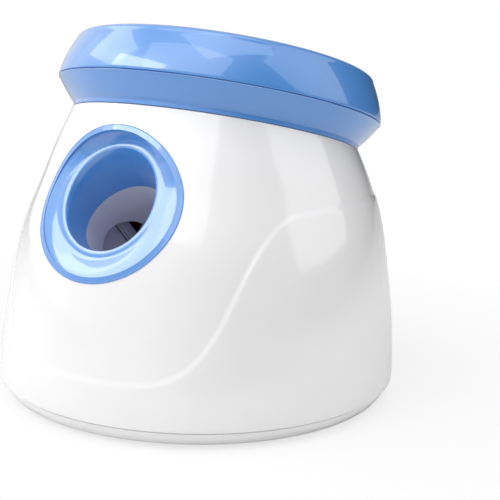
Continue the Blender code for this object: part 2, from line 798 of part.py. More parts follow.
def build_body_shell(materials):
    """The white dome, with its soft step, its top ledge and the blocks that the base screws bite."""
    bottom = (BASE_SEAM_HEIGHT + GAP) / BODY_HEIGHT
    rows = []
    for row in range(LOWER_ROWS + UPPER_ROWS + 2):
        points = []
        for i in range(BODY_SEGMENTS):
            turn = math.tau * i / BODY_SEGMENTS
            points.append(dome_wall_point(turn, row, bottom))
        rows.append(points)
    inner_shares = [bottom + (1 - bottom) * k / INNER_ROWS for k in range(INNER_ROWS + 1)]
    turns = [math.tau * i / BODY_SEGMENTS for i in range(BODY_SEGMENTS)]
    ledge_drop = WALL / BODY_HEIGHT
    rows.append([section_point(1.0, turn, -TOP_LEDGE) for turn in turns])
    rows.append([section_point(1.0 - ledge_drop, turn, -TOP_LEDGE) for turn in turns])
    inner_shares[-1] = 1.0 - ledge_drop
    for share in reversed(inner_shares):
        rows.append([section_point(share, turn, -WALL) for turn in turns])
    shell = piece("body_shell", lofted(rows, ring=True), materials["white"])
    blocks = []
    bores = []
    for turn in BASE_SCREW_ANGLES:
        spin = Matrix.Rotation(turn, 4, "Z")
        outer = section((BOSS_TOP + BOSS_BOTTOM) / 2 / BODY_HEIGHT)[1] - WALL / 2
        inner = BASE_SCREW_CIRCLE - BOSS_BACK
        half = BOSS_WIDTH / 2
        blocks.append((block((inner, -half, BOSS_BOTTOM), (outer, half, BOSS_TOP)), spin))
        top = BOSS_BOTTOM + BASE_SCREW_REACH
        bore = rod(SCREW_HOLE_RADIUS, 0, top, SCREW_SEGMENTS)
        bores.append((bore, spin @ at(BASE_SCREW_CIRCLE)))
    join(shell, "screw_blocks", gathered(blocks))
    cut(shell, "screw_block_bores", gathered(bores))
    cut(shell, "muzzle_hole", window_prism(BEZEL_FRAME, BEZEL_HALF_WIDTH - BEZEL_LAP,
                                           BEZEL_HALF_HEIGHT - BEZEL_LAP, BEZEL_SEGMENTS))
    panel_hole = squared_outline(PANEL_HALF_WIDTH + GAP, PANEL_HALF_HEIGHT + GAP)
    cut(shell, "panel_hole", prism(panel_hole, -OVERRUN, OVERRUN), PANEL_FRAME)
    cut(shell, "dc_hole", rod(DC_BODY_RADIUS + GAP, -OVERRUN, OVERRUN), DC_FRAME)


def dome_wall_point(turn, row, bottom):
    """A point of the dome's outer wall. Rows gather at the soft step, and those below it stand proud."""
    from_front = abs((turn + math.pi / 2 + math.pi) % math.tau - math.pi)
    middle = step_share(from_front)
    if row <= LOWER_ROWS:
        share = bottom + (middle - STEP_BAND_SHARE - bottom) * row / LOWER_ROWS
        proud = STEP_PROUD * (1 - fade(from_front))
    else:
        start = middle + STEP_BAND_SHARE
        share = start + (1 - start) * (row - LOWER_ROWS - 1) / UPPER_ROWS
        proud = 0.0
    return section_point(share, turn, proud)


def squared_outline(half_width, half_height):
    """The back panel's flat outline, an oblong with round corners."""
    corners = unit_outline(PANEL_SEGMENTS, PANEL_CORNER_POWER)
    return [(half_width * along, half_height * up) for along, up in corners]


def window_prism(frame, half_width, half_height, segments):
    """A cutter that crosses the dome's wall along a frame's Z, and reaches no other wall."""
    below = surface_ring(frame, half_width, half_height, -OVERRUN - MOUTH_RECESS, segments)
    above = surface_ring(frame, half_width, half_height, OVERRUN, segments)
    return lofted([below, above])


def rim_centre(height):
    """A point on the rim's tilted axis."""
    centre, _, tilt = section(1.0)
    return centre + height * Vector((0, math.sin(tilt), math.cos(tilt)))


def tilted_ring(centre, radius, tilt, segments=RIM_SEGMENTS):
    """A round ring about a centre, tipped back by a tilt."""
    turn_back = Matrix.Rotation(-tilt, 3, "X")
    return [centre + turn_back @ point for point in ring_points(radius, 0.0, segments)]


def rim_ring(radius, height):
    """A ring of the rim at a height along its axis."""
    return tilted_ring(rim_centre(height), radius, BODY_TILT)


def rim_wall(share):
    """Radius and height of the upper rim's outer wall."""
    top = section(1.0)[1]
    seam, shoulder = top + RIM_FLARE, top + RIM_SHOULDER_OUT
    height = RIM_SEAM_HEIGHT + (RIM_SHOULDER_HEIGHT - RIM_SEAM_HEIGHT) * share
    return seam + (shoulder - seam) * share**RIM_BULGE_POWER, height


def build_rim_collar(materials):
    """The lower blue ring, which flares out from the dome and has an inner ledge on it."""
    top = section(1.0)[1]
    high = RIM_SEAM_HEIGHT - GAP / 2
    ledge = top - TOP_LEDGE
    flare = []
    for share in COLLAR_SHARES:
        out = RIM_FLARE * share**COLLAR_BULGE_POWER
        flare.append((top + out, COLLAR_NECK + (high - COLLAR_NECK) * share))
    outer = [(top, GAP)] + flare
    inner = [(radius - WALL, height) for radius, height in reversed(flare[1:])]
    inner += [(top - WALL, COLLAR_NECK + SINK), (ledge, COLLAR_NECK), (ledge, GAP)]
    layers = [rim_ring(radius, height) for radius, height in outer + inner]
    piece("rim_collar", lofted(layers, ring=True), materials["blue"])


def bowl_ring(share, grow):
    """A ring of the ball bowl: it shrinks, slides back and turns towards the chute as it goes down."""
    lip = section(1.0)[1] - RIM_TOP_IN - RIM_LIP
    top = rim_centre(RIM_TOP_HEIGHT - RIM_LIP_DROP)
    throat = LAUNCH_FRAME @ Vector((0, THROAT_DISTANCE, -INLET_DEPTH))
    opening = math.sqrt(max(1 - share * share, 0.0))
    tilt = BODY_TILT + (math.pi / 2 - LAUNCH_ANGLE - BODY_TILT) * share**BOWL_TURN_POWER
    axis = Vector((0, math.sin(tilt), math.cos(tilt)))
    radius = CHUTE_RADIUS + (lip - CHUTE_RADIUS) * opening + grow * opening
    return tilted_ring(top.lerp(throat, share) - grow * share * axis, radius, tilt)


def build_hopper(materials):
    """Upper blue rim, rolled top edge, ball bowl and throat collar, in one moulding."""
    top = section(1.0)[1]
    seam_height = RIM_SEAM_HEIGHT + GAP / 2
    wall = [rim_wall(share) for share in RIM_WALL_SHARES]
    wall[0] = (wall[0][0], seam_height)
    shoulder, crown = top + RIM_SHOULDER_OUT, top - RIM_TOP_IN
    rolled = []
    rise = RIM_TOP_HEIGHT - RIM_SHOULDER_HEIGHT
    for turn in RIM_ROLL_TURNS:
        radius = crown + (shoulder - crown) * math.cos(turn)
        rolled.append((radius, RIM_SHOULDER_HEIGHT + rise * math.sin(turn)))
    lip = [(crown - RIM_LIP * math.sin(turn), RIM_TOP_HEIGHT - RIM_LIP_DROP * (1 - math.cos(turn)))
           for turn in LIP_ROLL_TURNS]
    layers = [rim_ring(radius, height) for radius, height in wall + rolled + lip]
    layers += [bowl_ring(share, 0.0) for share in BOWL_SHARES]
    throat_axis = LAUNCH_FRAME.to_3x3() @ Vector((0, 1, 0))
    throat = LAUNCH_FRAME @ Vector((0, THROAT_DISTANCE, -INLET_DEPTH))
    tilt = math.pi / 2 - LAUNCH_ANGLE
    collar_end = throat - THROAT_COLLAR * throat_axis
    layers.append(tilted_ring(collar_end, CHUTE_RADIUS, tilt))
    layers.append(tilted_ring(collar_end, CHUTE_RADIUS + WALL, tilt))
    layers.append(tilted_ring(throat - WALL * throat_axis, CHUTE_RADIUS + WALL, tilt))
    layers += [bowl_ring(share, WALL) for share in reversed(BOWL_SHARES[:-1])]
    under_height = RIM_SHOULDER_HEIGHT - WALL
    layers.append(rim_ring(crown - RIM_LIP + WALL, under_height - WALL))
    layers.append(rim_ring(shoulder - 2 * WALL, under_height - WALL / 2))
    layers += [rim_ring(radius - WALL, height) for radius, height in reversed(wall[:-1])]
    piece("hopper", lofted(layers, ring=True), materials["blue"])


def build_muzzle_bezel(materials):
    """The blue dished surround that lies on the dome, and the short tube behind it."""
    segments = BEZEL_SEGMENTS
    mouth = Vector(LAUNCH_FRAME.translation)
    mouth_frame = frame_of(mouth, MOUTH_PITCH)
    out = mouth_frame.to_3x3() @ Vector((0, 0, 1))
    bore_out = LAUNCH_FRAME.to_3x3() @ Vector((0, 0, 1))

    def tube_ring(radius, behind=None, depth=None):
        ring = []
        for point in ring_points(radius, 0.0, segments):
            place = LAUNCH_FRAME @ point
            if depth is None:
                place = place - bore_out * ((place - mouth).dot(out) + behind) / bore_out.dot(out)
            else:
                place = place - bore_out * depth
            ring.append(place)
        return ring

    start = tube_ring(BORE_RADIUS, behind=MOUTH_LIP_DEPTH)
    corner = tube_ring(BORE_RADIUS, behind=0.0)
    mouth_ring = [mouth_frame @ point for point in ring_points(MOUTH_RADIUS, 0.0, segments)]

    def lip_ring(share):
        rest = 1 - share
        return [rest * rest * a + 2 * rest * share * b + share * share * c
                for a, b, c in zip(start, corner, mouth_ring)]

    def dress(inset, offset):
        half_width, half_height = BEZEL_HALF_WIDTH - inset, BEZEL_HALF_HEIGHT - inset
        return surface_ring(BEZEL_FRAME, half_width, half_height, offset, segments)

    layers = [tube_ring(BORE_RADIUS, depth=MUZZLE_TUBE_DEPTH), start]
    layers += [lip_ring(share) for share in MOUTH_LIP_SHARES]
    layers.append(mouth_ring)
    layers += [dress(BEZEL_BROW, BEZEL_PROUD), dress(BEZEL_ROUND, BEZEL_PROUD), dress(0.0, BEZEL_EDGE),
               dress(0.0, GAP), dress(BEZEL_LAP + GAP, GAP), dress(BEZEL_LAP + GAP, -BEZEL_SKIRT)]
    back = ring_points(MOUTH_RADIUS + BEZEL_BACK, -BEZEL_BACK, segments)
    layers.append([mouth_frame @ point for point in back])
    layers.append(tube_ring(BORE_RADIUS + MUZZLE_TUBE_WALL, behind=MOUTH_LIP_DEPTH + BEZEL_BACK))
    layers.append(tube_ring(BORE_RADIUS + MUZZLE_TUBE_WALL, depth=MUZZLE_TUBE_DEPTH))
    piece("muzzle_bezel", lofted(layers, ring=True), materials["blue"])


# Launch line


def build_barrel(materials, launch):
    """The pale barrel: ball bore, smaller striker bore, inlet neck, side port, arm slot and four lugs."""
    start = MUZZLE_TUBE_DEPTH + GAP
    tail = BARREL_TAIL_RADIUS
    profile = ((0, -BARREL_END), (tail, -BARREL_END), (tail, -SEAT_DEPTH - 2 * BARREL_TAPER),
               (BARREL_RADIUS, -SEAT_DEPTH - BARREL_TAPER), (BARREL_RADIUS, -start), (0, -start))
    barrel = piece("launch_barrel", turned(profile, BARREL_SEGMENTS), materials["grey"], parent=launch)
    # Half a segment of twist keeps crossing tubes from sharing corner points.
    half_step = Matrix.Rotation(math.pi / BARREL_SEGMENTS, 4, "Z")
    up = at(0, 0, -INLET_DEPTH) @ Matrix.Rotation(-math.pi / 2, 4, "X") @ half_step
    neck = rod(NECK_RADIUS, 0, NECK_HEIGHT, BARREL_SEGMENTS)
    join(barrel, "inlet_neck", neck, up, launch)
    lugs = []
    for side in (-1, 1):
        for rise, along in LUG_PLACES:
            outer = PLATE_INSET - GAP
            inner = min(math.sqrt(BARREL_RADIUS**2 - rise**2), outer) - LUG_INSET
            low = (min(side * inner, side * outer), rise - LUG_HALF_SIZE, along - LUG_HALF_SIZE)
            high = (max(side * inner, side * outer), rise + LUG_HALF_SIZE, along + LUG_HALF_SIZE)
            lugs.append((block(low, high), Matrix()))
    join(barrel, "barrel_lugs", gathered(lugs), parent=launch)
    long_end = -BARREL_END - OVERRUN
    port_start = BORE_RADIUS / 2
    port_end = PLATE_INSET + OVERRUN
    port = rod(PORT_RADIUS, port_start, port_end)
    cut(barrel, "side_port", port, at(0, 0, -PORT_DEPTH) @ MIRRORED_SIDEWAYS @ half_step, launch)
    slot = block((SEAT_RADIUS / 2, -SLOT_HALF_WIDTH, long_end), (PLATE_INSET, SLOT_HALF_WIDTH, -SLOT_FRONT))
    cut(barrel, "arm_slot", slot, parent=launch)
    cut(barrel, "lug_bores", gathered(lug_bores()), parent=launch)
    inlet = rod(CHUTE_RADIUS, 0, NECK_HEIGHT + OVERRUN, BARREL_SEGMENTS)
    cut(barrel, "inlet_bore", inlet, up, launch)
    steps = ((0, long_end), (SEAT_RADIUS, long_end), (SEAT_RADIUS, -SEAT_DEPTH),
             (BORE_RADIUS, -SEAT_DEPTH), (BORE_RADIUS, OVERRUN), (0, OVERRUN))
    cut(barrel, "ball_bore", turned(steps, BARREL_SEGMENTS), parent=launch)


def lug_bores():
    """The screw holes that run sideways into the barrel's lugs."""
    parts = []
    bore = rod(SCREW_HOLE_RADIUS, LUG_BORE_START, PLATE_OUTER + OVERRUN, SCREW_SEGMENTS)
    for turn in (SIDEWAYS, MIRRORED_SIDEWAYS):
        for rise, along in LUG_PLACES:
            parts.append((bore, at(0, rise, along) @ turn))
    return parts


def build_chute(materials, launch):
    """The tube that brings a ball from the bowl's throat down to the barrel."""
    low = NECK_HEIGHT + GAP
    bell_top = THROAT_DISTANCE - BELL_DROP
    bell_low = bell_top - BELL_LENGTH
    outer = CHUTE_RADIUS + CHUTE_WALL
    socket = CHUTE_RADIUS + WALL + GAP
    bell = socket + BELL_WALL
    profile = ((CHUTE_RADIUS, low), (outer, low), (outer, bell_low - BELL_WALL), (bell, bell_low),
               (bell, bell_top), (socket, bell_top), (socket, bell_low), (CHUTE_RADIUS, bell_low))
    place = at(0, 0, -INLET_DEPTH) @ Matrix.Rotation(-math.pi / 2, 4, "X")
    piece("ball_chute", turned(profile, BARREL_SEGMENTS), materials["grey"], place, launch)


def rack_outline():
    """The rack's outline, with depth along the launch line first and rise second."""
    pitch = math.pi * RACK_MODULE
    root = RACK_PITCH_RISE - DEDENDUM_SHARE * RACK_MODULE
    tip = RACK_PITCH_RISE + ADDENDUM_SHARE * RACK_MODULE
    half = pitch / 4 - BACKLASH / 2
    slope = math.tan(PRESSURE_ANGLE)
    foot = half + DEDENDUM_SHARE * RACK_MODULE * slope
    crest = half - ADDENDUM_SHARE * RACK_MODULE * slope
    tooth = ((-foot, root), (-crest, tip), (crest, tip), (foot, root))
    count = math.ceil(STRIKER_STROKE / pitch)
    points = []
    for k in range(count + 1, -2, -1):
        centre = -SECTOR_DEPTH + k * pitch
        points += [(centre - along, rise) for along, rise in tooth]
    front, back = points[0][0] + pitch / 4, min(points[-1][0], -STRIKER_BACK)
    return [(front, root)] + points + [(back, root), (back, RACK_BACK_RISE), (front, RACK_BACK_RISE)]


def build_striker(materials, launch):
    """The plunger head, its side arm through the barrel's slot, and the rack outside the right plate."""
    radius = SEAT_RADIUS - STRIKER_CLEARANCE
    rounding = STRIKER_THICKNESS / 4
    head = turned(((0, -STRIKER_BACK), (radius, -STRIKER_BACK), (radius, -STRIKER_DEPTH - rounding),
                   (radius - rounding, -STRIKER_DEPTH), (0, -STRIKER_DEPTH)))
    striker = piece("striker", head, materials["dark"], parent=launch)
    arm = block((radius / 2, -ARM_HALF_WIDTH, -STRIKER_BACK + SINK),
                (LAYER_ENDS[0] - SINK, root_rise(), -STRIKER_DEPTH - SINK))
    join(striker, "striker_arm", arm, parent=launch)
    # The outline lies in the gear plane, so its depth and rise swap places with the prism's two axes.
    outline = [(rise, along) for along, rise in rack_outline()]
    join(striker, "striker_rack", prism(outline, LAYER_STARTS[0], LAYER_ENDS[0]), SIDEWAYS, launch)


def root_rise():
    """The rise of the arm's upper face, under the rack's tooth roots."""
    return RACK_PITCH_RISE - DEDENDUM_SHARE * RACK_MODULE - SINK


def build_spring(materials, launch):
    """The compression spring between the striker and its seat."""
    start = -SEAT_BAR_DEPTH + GAP + SPRING_WIRE_RADIUS
    end = -STRIKER_BACK - GAP - SPRING_WIRE_RADIUS
    wire = bpy.data.curves.new("striker_spring", "CURVE")
    wire.dimensions = "3D"
    wire.bevel_depth = SPRING_WIRE_RADIUS
    wire.bevel_resolution = 0
    wire.use_fill_caps = True
    run = wire.splines.new("POLY")
    count = SPRING_TURNS * SPRING_TURN_POINTS
    run.points.add(count)
    for i, point in enumerate(run.points):
        turn = math.tau * i / SPRING_TURN_POINTS
        along = start + (end - start) * i / count
        point.co = (SPRING_RADIUS * math.cos(turn), SPRING_RADIUS * math.sin(turn), along, 1.0)
    places = [Vector(point.co[:3]) for point in run.points]
    turn_pairs = zip(places, places[SPRING_TURN_POINTS:])
    least = min((after - before).length for before, after in turn_pairs) - 2 * SPRING_WIRE_RADIUS
    print("least gap in the spring, metres:", round(least, 5))
    piece("striker_spring", wire, materials["steel"], parent=launch)


def build_spring_seat(materials, launch):
    """The bar between the plates that the spring pushes against, with its guide post."""
    half = PLATE_INSET - GAP
    low = -SEAT_BAR_DEPTH - SEAT_BAR_THICKNESS
    bar = block((-half, -SEAT_BAR_HALF_HEIGHT, low), (half, SEAT_BAR_HALF_HEIGHT, -SEAT_BAR_DEPTH))
    seat = piece("spring_seat", bar, materials["grey"], parent=launch)
    top = -SEAT_BAR_DEPTH + SEAT_POST_LENGTH
    post = rod(SEAT_POST_RADIUS, low + SINK, top, SCREW_SEGMENTS)
    join(seat, "guide_post", post, parent=launch)


# Chassis


def board_post_places():
    """Rise and depth of the two posts that carry the circuit board, at opposite corners of it."""
    rise, depth = BOARD_HALF_HEIGHT - BOARD_POST_INSET, BOARD_HALF_WIDTH - BOARD_POST_INSET
    return [(BOARD_RISE + side * rise, BOARD_DEPTH + side * depth) for side in (-1, 1)]


def plate_outline():
    """The outline that both chassis plates share: round their pivots and lugs, and flat on the base."""
    inverse = LAUNCH_FRAME.inverted()
    circles = [(rise, along, PLATE_EDGE) for rise, along in LUG_PLACES]
    circles += [(*centre, PLATE_EDGE) for centre in AXLE_CENTRES]
    circles += [(*centre, POST_EDGE) for centre in POST_CENTRES]
    circles += [(rise, -depth, BOARD_POST_RADIUS) for rise, depth in board_post_places()]
    circles.append((0.0, -SEAT_BAR_DEPTH - SEAT_BAR_THICKNESS / 2, SEAT_BAR_HALF_HEIGHT / 2))
    for y in (FOOT_FLANGE_FRONT, FOOT_FLANGE_BACK):
        corner = inverse @ Vector((0, y, TRAY_TOP + GAP + SINK))
        circles.append((corner.y, corner.z, 0.0))
    return hull_outline(circles)


def build_chassis(materials, launch):
    """The two upright plates that carry the barrel, the spring seat and, on the right, the gear train."""
    outline = plate_outline()
    for name, turn, side in (("chassis_right", SIDEWAYS, 1), ("chassis_left", MIRRORED_SIDEWAYS, -1)):
        facing = outline if side > 0 else [(-rise, along) for rise, along in outline]
        plate = piece(name, prism(facing, PLATE_INSET, PLATE_OUTER), materials["grey"], turn, launch)
        inner, outer = side * (PLATE_INSET + SINK), side * (PLATE_OUTER + FOOT_FLANGE_WIDTH)
        low = (min(inner, outer), FOOT_FLANGE_FRONT - SINK, TRAY_TOP + GAP)
        high = (max(inner, outer), FOOT_FLANGE_BACK + SINK, TRAY_TOP + GAP + FOOT_FLANGE_THICKNESS)
        join(plate, f"{name}_flange", block(low, high))
        holes = []
        for rise, along in LUG_PLACES:
            holes.append(side_hole(rise, along, turn, SCREW_HOLE_RADIUS))
        cut(plate, f"{name}_lug_holes", gathered(holes), parent=launch)
        cut(plate, f"{name}_foot_holes", gathered(foot_screw_holes(side)))
    build_right_plate_details(bpy.data.objects["chassis_right"], launch)
    build_left_plate_details(bpy.data.objects["chassis_left"], materials, launch)


def side_hole(rise, along, turn, radius):
    """A sideways hole through one chassis plate."""
    start, end = PLATE_INSET - OVERRUN / 10, COVER_OUTER + OVERRUN
    return rod(radius, start, end, SCREW_SEGMENTS), at(0, rise, along) @ turn


def foot_screw_holes(side):
    """The upright holes through a plate's foot flange."""
    x = side * (PLATE_OUTER + FOOT_FLANGE_WIDTH / 2)
    hole = rod(SCREW_HOLE_RADIUS, 0, BOSS_TOP, SCREW_SEGMENTS)
    return [(hole, at(x, y, 0)) for y in CHASSIS_SCREW_PLACES]


def build_right_plate_details(plate, launch):
    """Posts for the gearbox cover, axle holes, and the slot that the striker's arm runs in."""
    posts = []
    screw_bores = []
    for centre in POST_CENTRES:
        post = rod(POST_RADIUS, PLATE_OUTER - SINK, COVER_INNER - GAP, SCREW_SEGMENTS)
        posts.append((post, launch_place(centre)))
        start = COVER_OUTER - COVER_SCREW_LENGTH - GAP
        bore = rod(SCREW_HOLE_RADIUS, start, COVER_OUTER, SCREW_SEGMENTS)
        screw_bores.append((bore, launch_place(centre)))
    join(plate, "cover_posts", gathered(posts), parent=launch)
    cut(plate, "cover_post_bores", gathered(screw_bores), parent=launch)
    axles = [side_hole(*centre, SIDEWAYS, AXLE_RADIUS + GAP) for centre in AXLE_CENTRES]
    cut(plate, "axle_holes", gathered(axles), parent=launch)
    slot = block((PLATE_INSET - WALL, -SLOT_HALF_WIDTH, -BARREL_END - SLOT_HALF_WIDTH),
                 (PLATE_OUTER + WALL, SLOT_HALF_WIDTH, -SLOT_FRONT))
    cut(plate, "arm_window", slot, parent=launch)


def build_left_plate_details(plate, materials, launch):
    """The sensor's hole and lens, and the posts that carry the circuit board."""
    place = at(0, SENSOR_RISE, -SENSOR_DEPTH) @ MIRRORED_SIDEWAYS
    radius = SENSOR_RADIUS + GAP
    cut(plate, "sensor_hole", rod(radius, 0, COVER_OUTER), place, launch)
    back = PLATE_OUTER + GAP
    flange = SENSOR_RADIUS + SENSOR_FLANGE
    end = back + SENSOR_FLANGE_THICKNESS
    lens = turned(((0, PLATE_INSET), (SENSOR_RADIUS, PLATE_INSET), (SENSOR_RADIUS, back), (flange, back),
                   (flange, end), (0, end)))
    piece("sensor_window", lens, materials["red"], place, launch)
    posts = []
    for rise, depth in board_post_places():
        post = rod(BOARD_POST_RADIUS, PLATE_OUTER - SINK, PLATE_OUTER + BOARD_STANDOFF, SCREW_SEGMENTS)
        posts.append((post, at(0, rise, -depth) @ MIRRORED_SIDEWAYS))
    join(plate, "board_posts", gathered(posts), parent=launch)
    build_circuit_board(materials, launch)


def build_circuit_board(materials, launch):
    """The control board on its posts, with a small chip and the buzzer beside it."""
    near = PLATE_OUTER + BOARD_STANDOFF + GAP
    far = near + BOARD_THICKNESS
    low_rise, high_rise = BOARD_RISE - BOARD_HALF_HEIGHT, BOARD_RISE + BOARD_HALF_HEIGHT
    low_along, high_along = -BOARD_DEPTH - BOARD_HALF_WIDTH, -BOARD_DEPTH + BOARD_HALF_WIDTH
    board = piece("circuit_board", block((-far, low_rise, low_along), (-near, high_rise, high_along)),
                  materials["board"], parent=launch)
    chip = block((-far - BOARD_THICKNESS, BOARD_RISE - CHIP_HALF_WIDTH, -BOARD_DEPTH - CHIP_HALF_LENGTH),
                 (-far + SINK, BOARD_RISE + CHIP_HALF_WIDTH, -BOARD_DEPTH + CHIP_HALF_LENGTH))
    join(board, "board_chip", chip, parent=launch)
    start = far + GAP
    end = start + BUZZER_HEIGHT
    buzzer = turned(((0, start), (BUZZER_RADIUS, start), (BUZZER_RADIUS, end), (BUZZER_PORT_RADIUS, end),
                     (BUZZER_PORT_RADIUS, end - BUZZER_PORT_RADIUS), (0, end - BUZZER_PORT_RADIUS)))
    rise = BOARD_RISE + BUZZER_OFFSET
    along = -BOARD_DEPTH + BOARD_HALF_WIDTH - BUZZER_OFFSET
    piece("buzzer", buzzer, materials["dark"], at(0, rise, along) @ MIRRORED_SIDEWAYS, launch)


def build_gearbox_cover(materials, launch):
    """The outer plate of the gearbox, which holds the axles' far ends and the motor."""
    circles = [(*centre, PLATE_EDGE) for centre in AXLE_CENTRES]
    circles += [(*centre, POST_EDGE) for centre in POST_CENTRES]
    circles.append((*MOTOR_CENTRE, MOTOR_RADIUS))
    plate = prism(hull_outline(circles), COVER_INNER, COVER_OUTER)
    cover = piece("gearbox_cover", plate, materials["grey"], SIDEWAYS, launch)
    holes = [side_hole(*centre, SIDEWAYS, AXLE_RADIUS + GAP) for centre in AXLE_CENTRES]
    holes += [side_hole(*centre, SIDEWAYS, SCREW_HOLE_RADIUS) for centre in POST_CENTRES]
    holes.append(side_hole(*MOTOR_CENTRE, SIDEWAYS, MOTOR_SHAFT_RADIUS + 2 * RUNNING_GAP))
    cut(cover, "cover_holes", gathered(holes), parent=launch)


# Base


def build_base(materials):
    """The tray under the seam, with the battery box, the door's recess and the screw posts."""
    seam = BASE_SEAM_HEIGHT - GAP

    def wall(height):
        return section(height / BODY_HEIGHT)[1]

    lip_outer = wall(seam) - WALL - 2 * GAP
    lip_inner = lip_outer - TRAY_LIP_WALL
    lip_top = seam + TRAY_LIP_HEIGHT
    profile = ((0, FOOT_HEIGHT), (wall(FOOT_HEIGHT), FOOT_HEIGHT), (wall(TRAY_HEEL), TRAY_HEEL),
               (wall(seam), seam), (lip_outer, seam), (lip_outer, lip_top), (lip_inner, lip_top),
               (lip_inner, TRAY_WALL_TOP), (wall(TRAY_HEEL) - 2 * WALL, TRAY_TOP), (0, TRAY_TOP))
    tray = piece("base_cover", turned(profile, BODY_SEGMENTS), materials["white"])
    half, ledge = BOX_HALF_WIDTH, BOX_LEDGE
    box = block((-half - BOX_WALL, BOX_FRONT - BOX_WALL, FOOT_HEIGHT + SINK),
                (half + BOX_WALL, BOX_BACK + BOX_WALL, BOX_TOP + BOX_WALL))
    join(tray, "battery_box", box)
    rim = block((-half - 2 * ledge, BOX_FRONT - 2 * ledge, FOOT_HEIGHT + SINK),
                (half + 2 * ledge, BOX_BACK + 2 * ledge, LEDGE_BOTTOM + BOX_WALL))
    join(tray, "door_rim", rim)
    posts = []
    for turn in BASE_SCREW_ANGLES:
        post = rod(SCREW_POST_RADIUS, TRAY_TOP - SINK, BOSS_BOTTOM - GAP, SCREW_SEGMENTS)
        posts.append((post, Matrix.Rotation(turn, 4, "Z") @ at(BASE_SCREW_CIRCLE)))
    join(tray, "screw_posts", gathered(posts))
    pocket = block((-half, BOX_FRONT, 0), (half, BOX_BACK, BOX_TOP))
    cut(tray, "battery_pocket", pocket)
    recess = block((-half - ledge, BOX_FRONT - ledge, 0), (half + ledge, BOX_BACK + ledge, LEDGE_BOTTOM))
    cut(tray, "door_recess", recess)
    cut(tray, "base_holes", gathered(base_holes()))
    build_feet(materials)
    build_battery_door(materials)
    build_cells(materials)


def base_holes():
    """Screw holes with their counterbores, and the feet's peg holes."""
    sink = FOOT_HEIGHT + SCREW_HEAD_HEIGHT
    wide, narrow = SCREW_HEAD_RADIUS + GAP, SCREW_HOLE_RADIUS
    seat = sink - GAP
    hole = turned(((0, 0), (wide, 0), (wide, seat), (narrow, seat), (narrow, BOSS_TOP), (0, BOSS_TOP)),
                  SCREW_SEGMENTS)
    holes = [(hole, Matrix.Rotation(turn, 4, "Z") @ at(BASE_SCREW_CIRCLE)) for turn in BASE_SCREW_ANGLES]
    for side in (-1, 1):
        for y in CHASSIS_SCREW_PLACES:
            holes.append((hole, at(side * (PLATE_OUTER + FOOT_FLANGE_WIDTH / 2), y, 0)))
    peg = rod(FOOT_PEG_RADIUS + GAP, 0, BOSS_TOP, SCREW_SEGMENTS)
    holes += [(peg, Matrix.Rotation(turn, 4, "Z") @ at(FOOT_CIRCLE)) for turn in FOOT_ANGLES]
    return holes


def build_feet(materials):
    """Four soft feet, each with a peg through the tray."""
    top = FOOT_HEIGHT - GAP
    edge = FOOT_RADIUS - FOOT_HEIGHT / 4
    foot = turned(((0, 0), (edge, 0), (FOOT_RADIUS, top / 2), (FOOT_RADIUS, top), (FOOT_PEG_RADIUS, top),
                   (FOOT_PEG_RADIUS, top + FOOT_PEG_LENGTH), (0, top + FOOT_PEG_LENGTH)), FOOT_SEGMENTS)
    for number, turn in enumerate(FOOT_ANGLES, 1):
        place = Matrix.Rotation(turn, 4, "Z") @ at(FOOT_CIRCLE)
        piece(f"rubber_foot_{number}", foot, materials["rubber"], place)


def door_hinge():
    """A point on the battery door's hinge line."""
    radius = DOOR_THICKNESS / 2
    return Vector((0, BOX_FRONT - BOX_LEDGE + GAP + radius, FOOT_HEIGHT + GAP + radius))


def build_battery_door(materials):
    """The door under the battery box, which turns about its rounded front edge, with a finger pull."""
    hinge = door_hinge()
    radius = DOOR_THICKNESS / 2
    back = BOX_BACK + BOX_LEDGE - GAP - hinge.y
    outline = [(back, -radius), (back, radius)]
    for degrees in (90, 120, 150, 180, 210, 240, 270):
        turn = math.radians(degrees)
        outline.append((radius * math.cos(turn), radius * math.sin(turn)))
    half = BOX_HALF_WIDTH + BOX_LEDGE - GAP
    place = Matrix.Translation(hinge) @ SIDEWAYS
    door = piece("battery_door", prism(outline, -half, half), materials["white"], place)
    pull = rod(DOOR_PULL_RADIUS, -radius - SINK, DOOR_PULL_DEPTH - radius)
    cut(door, "finger_pull", pull, Matrix.Translation(hinge) @ at(0, back - 2 * DOOR_PULL_RADIUS, 0))


def build_cells(materials):
    """The cells in two rows, and the contact plates at their ends."""
    end = CELL_LENGTH / 2
    shoulder = CELL_RADIUS - CELL_NUB
    tip = end + CELL_NUB
    cell = turned(((0, -end), (shoulder, -end), (CELL_RADIUS, CELL_NUB - end), (CELL_RADIUS, end - CELL_NUB),
                   (shoulder, end), (CELL_NUB_RADIUS, end), (CELL_NUB_RADIUS, tip), (0, tip)), CELL_SEGMENTS)
    number = 0
    for row in range(CELL_ROWS):
        y = BOX_FRONT + CELL_GAP + CELL_RADIUS + row * CELL_PITCH
        for column in range(CELL_COLUMNS):
            number += 1
            x = (column - (CELL_COLUMNS - 1) / 2) * CELL_STEP - CELL_NUB / 2
            piece(f"battery_cell_{number}", cell, materials["cell"], at(x, y, CELL_HEIGHT) @ SIDEWAYS)
    near = BOX_HALF_WIDTH - GAP - CONTACT_THICKNESS
    for name, side in (("contact_plate_right", 1), ("contact_plate_left", -1)):
        xs = sorted((side * near, side * (near + CONTACT_THICKNESS)))
        low = (xs[0], BOX_FRONT + CELL_RADIUS / 2, CELL_HEIGHT - CONTACT_HALF_HEIGHT)
        high = (xs[1], BOX_BACK - CELL_RADIUS / 2, CELL_HEIGHT + CONTACT_HALF_HEIGHT)
        piece(name, block(low, high), materials["brass"])


# Back panel and socket


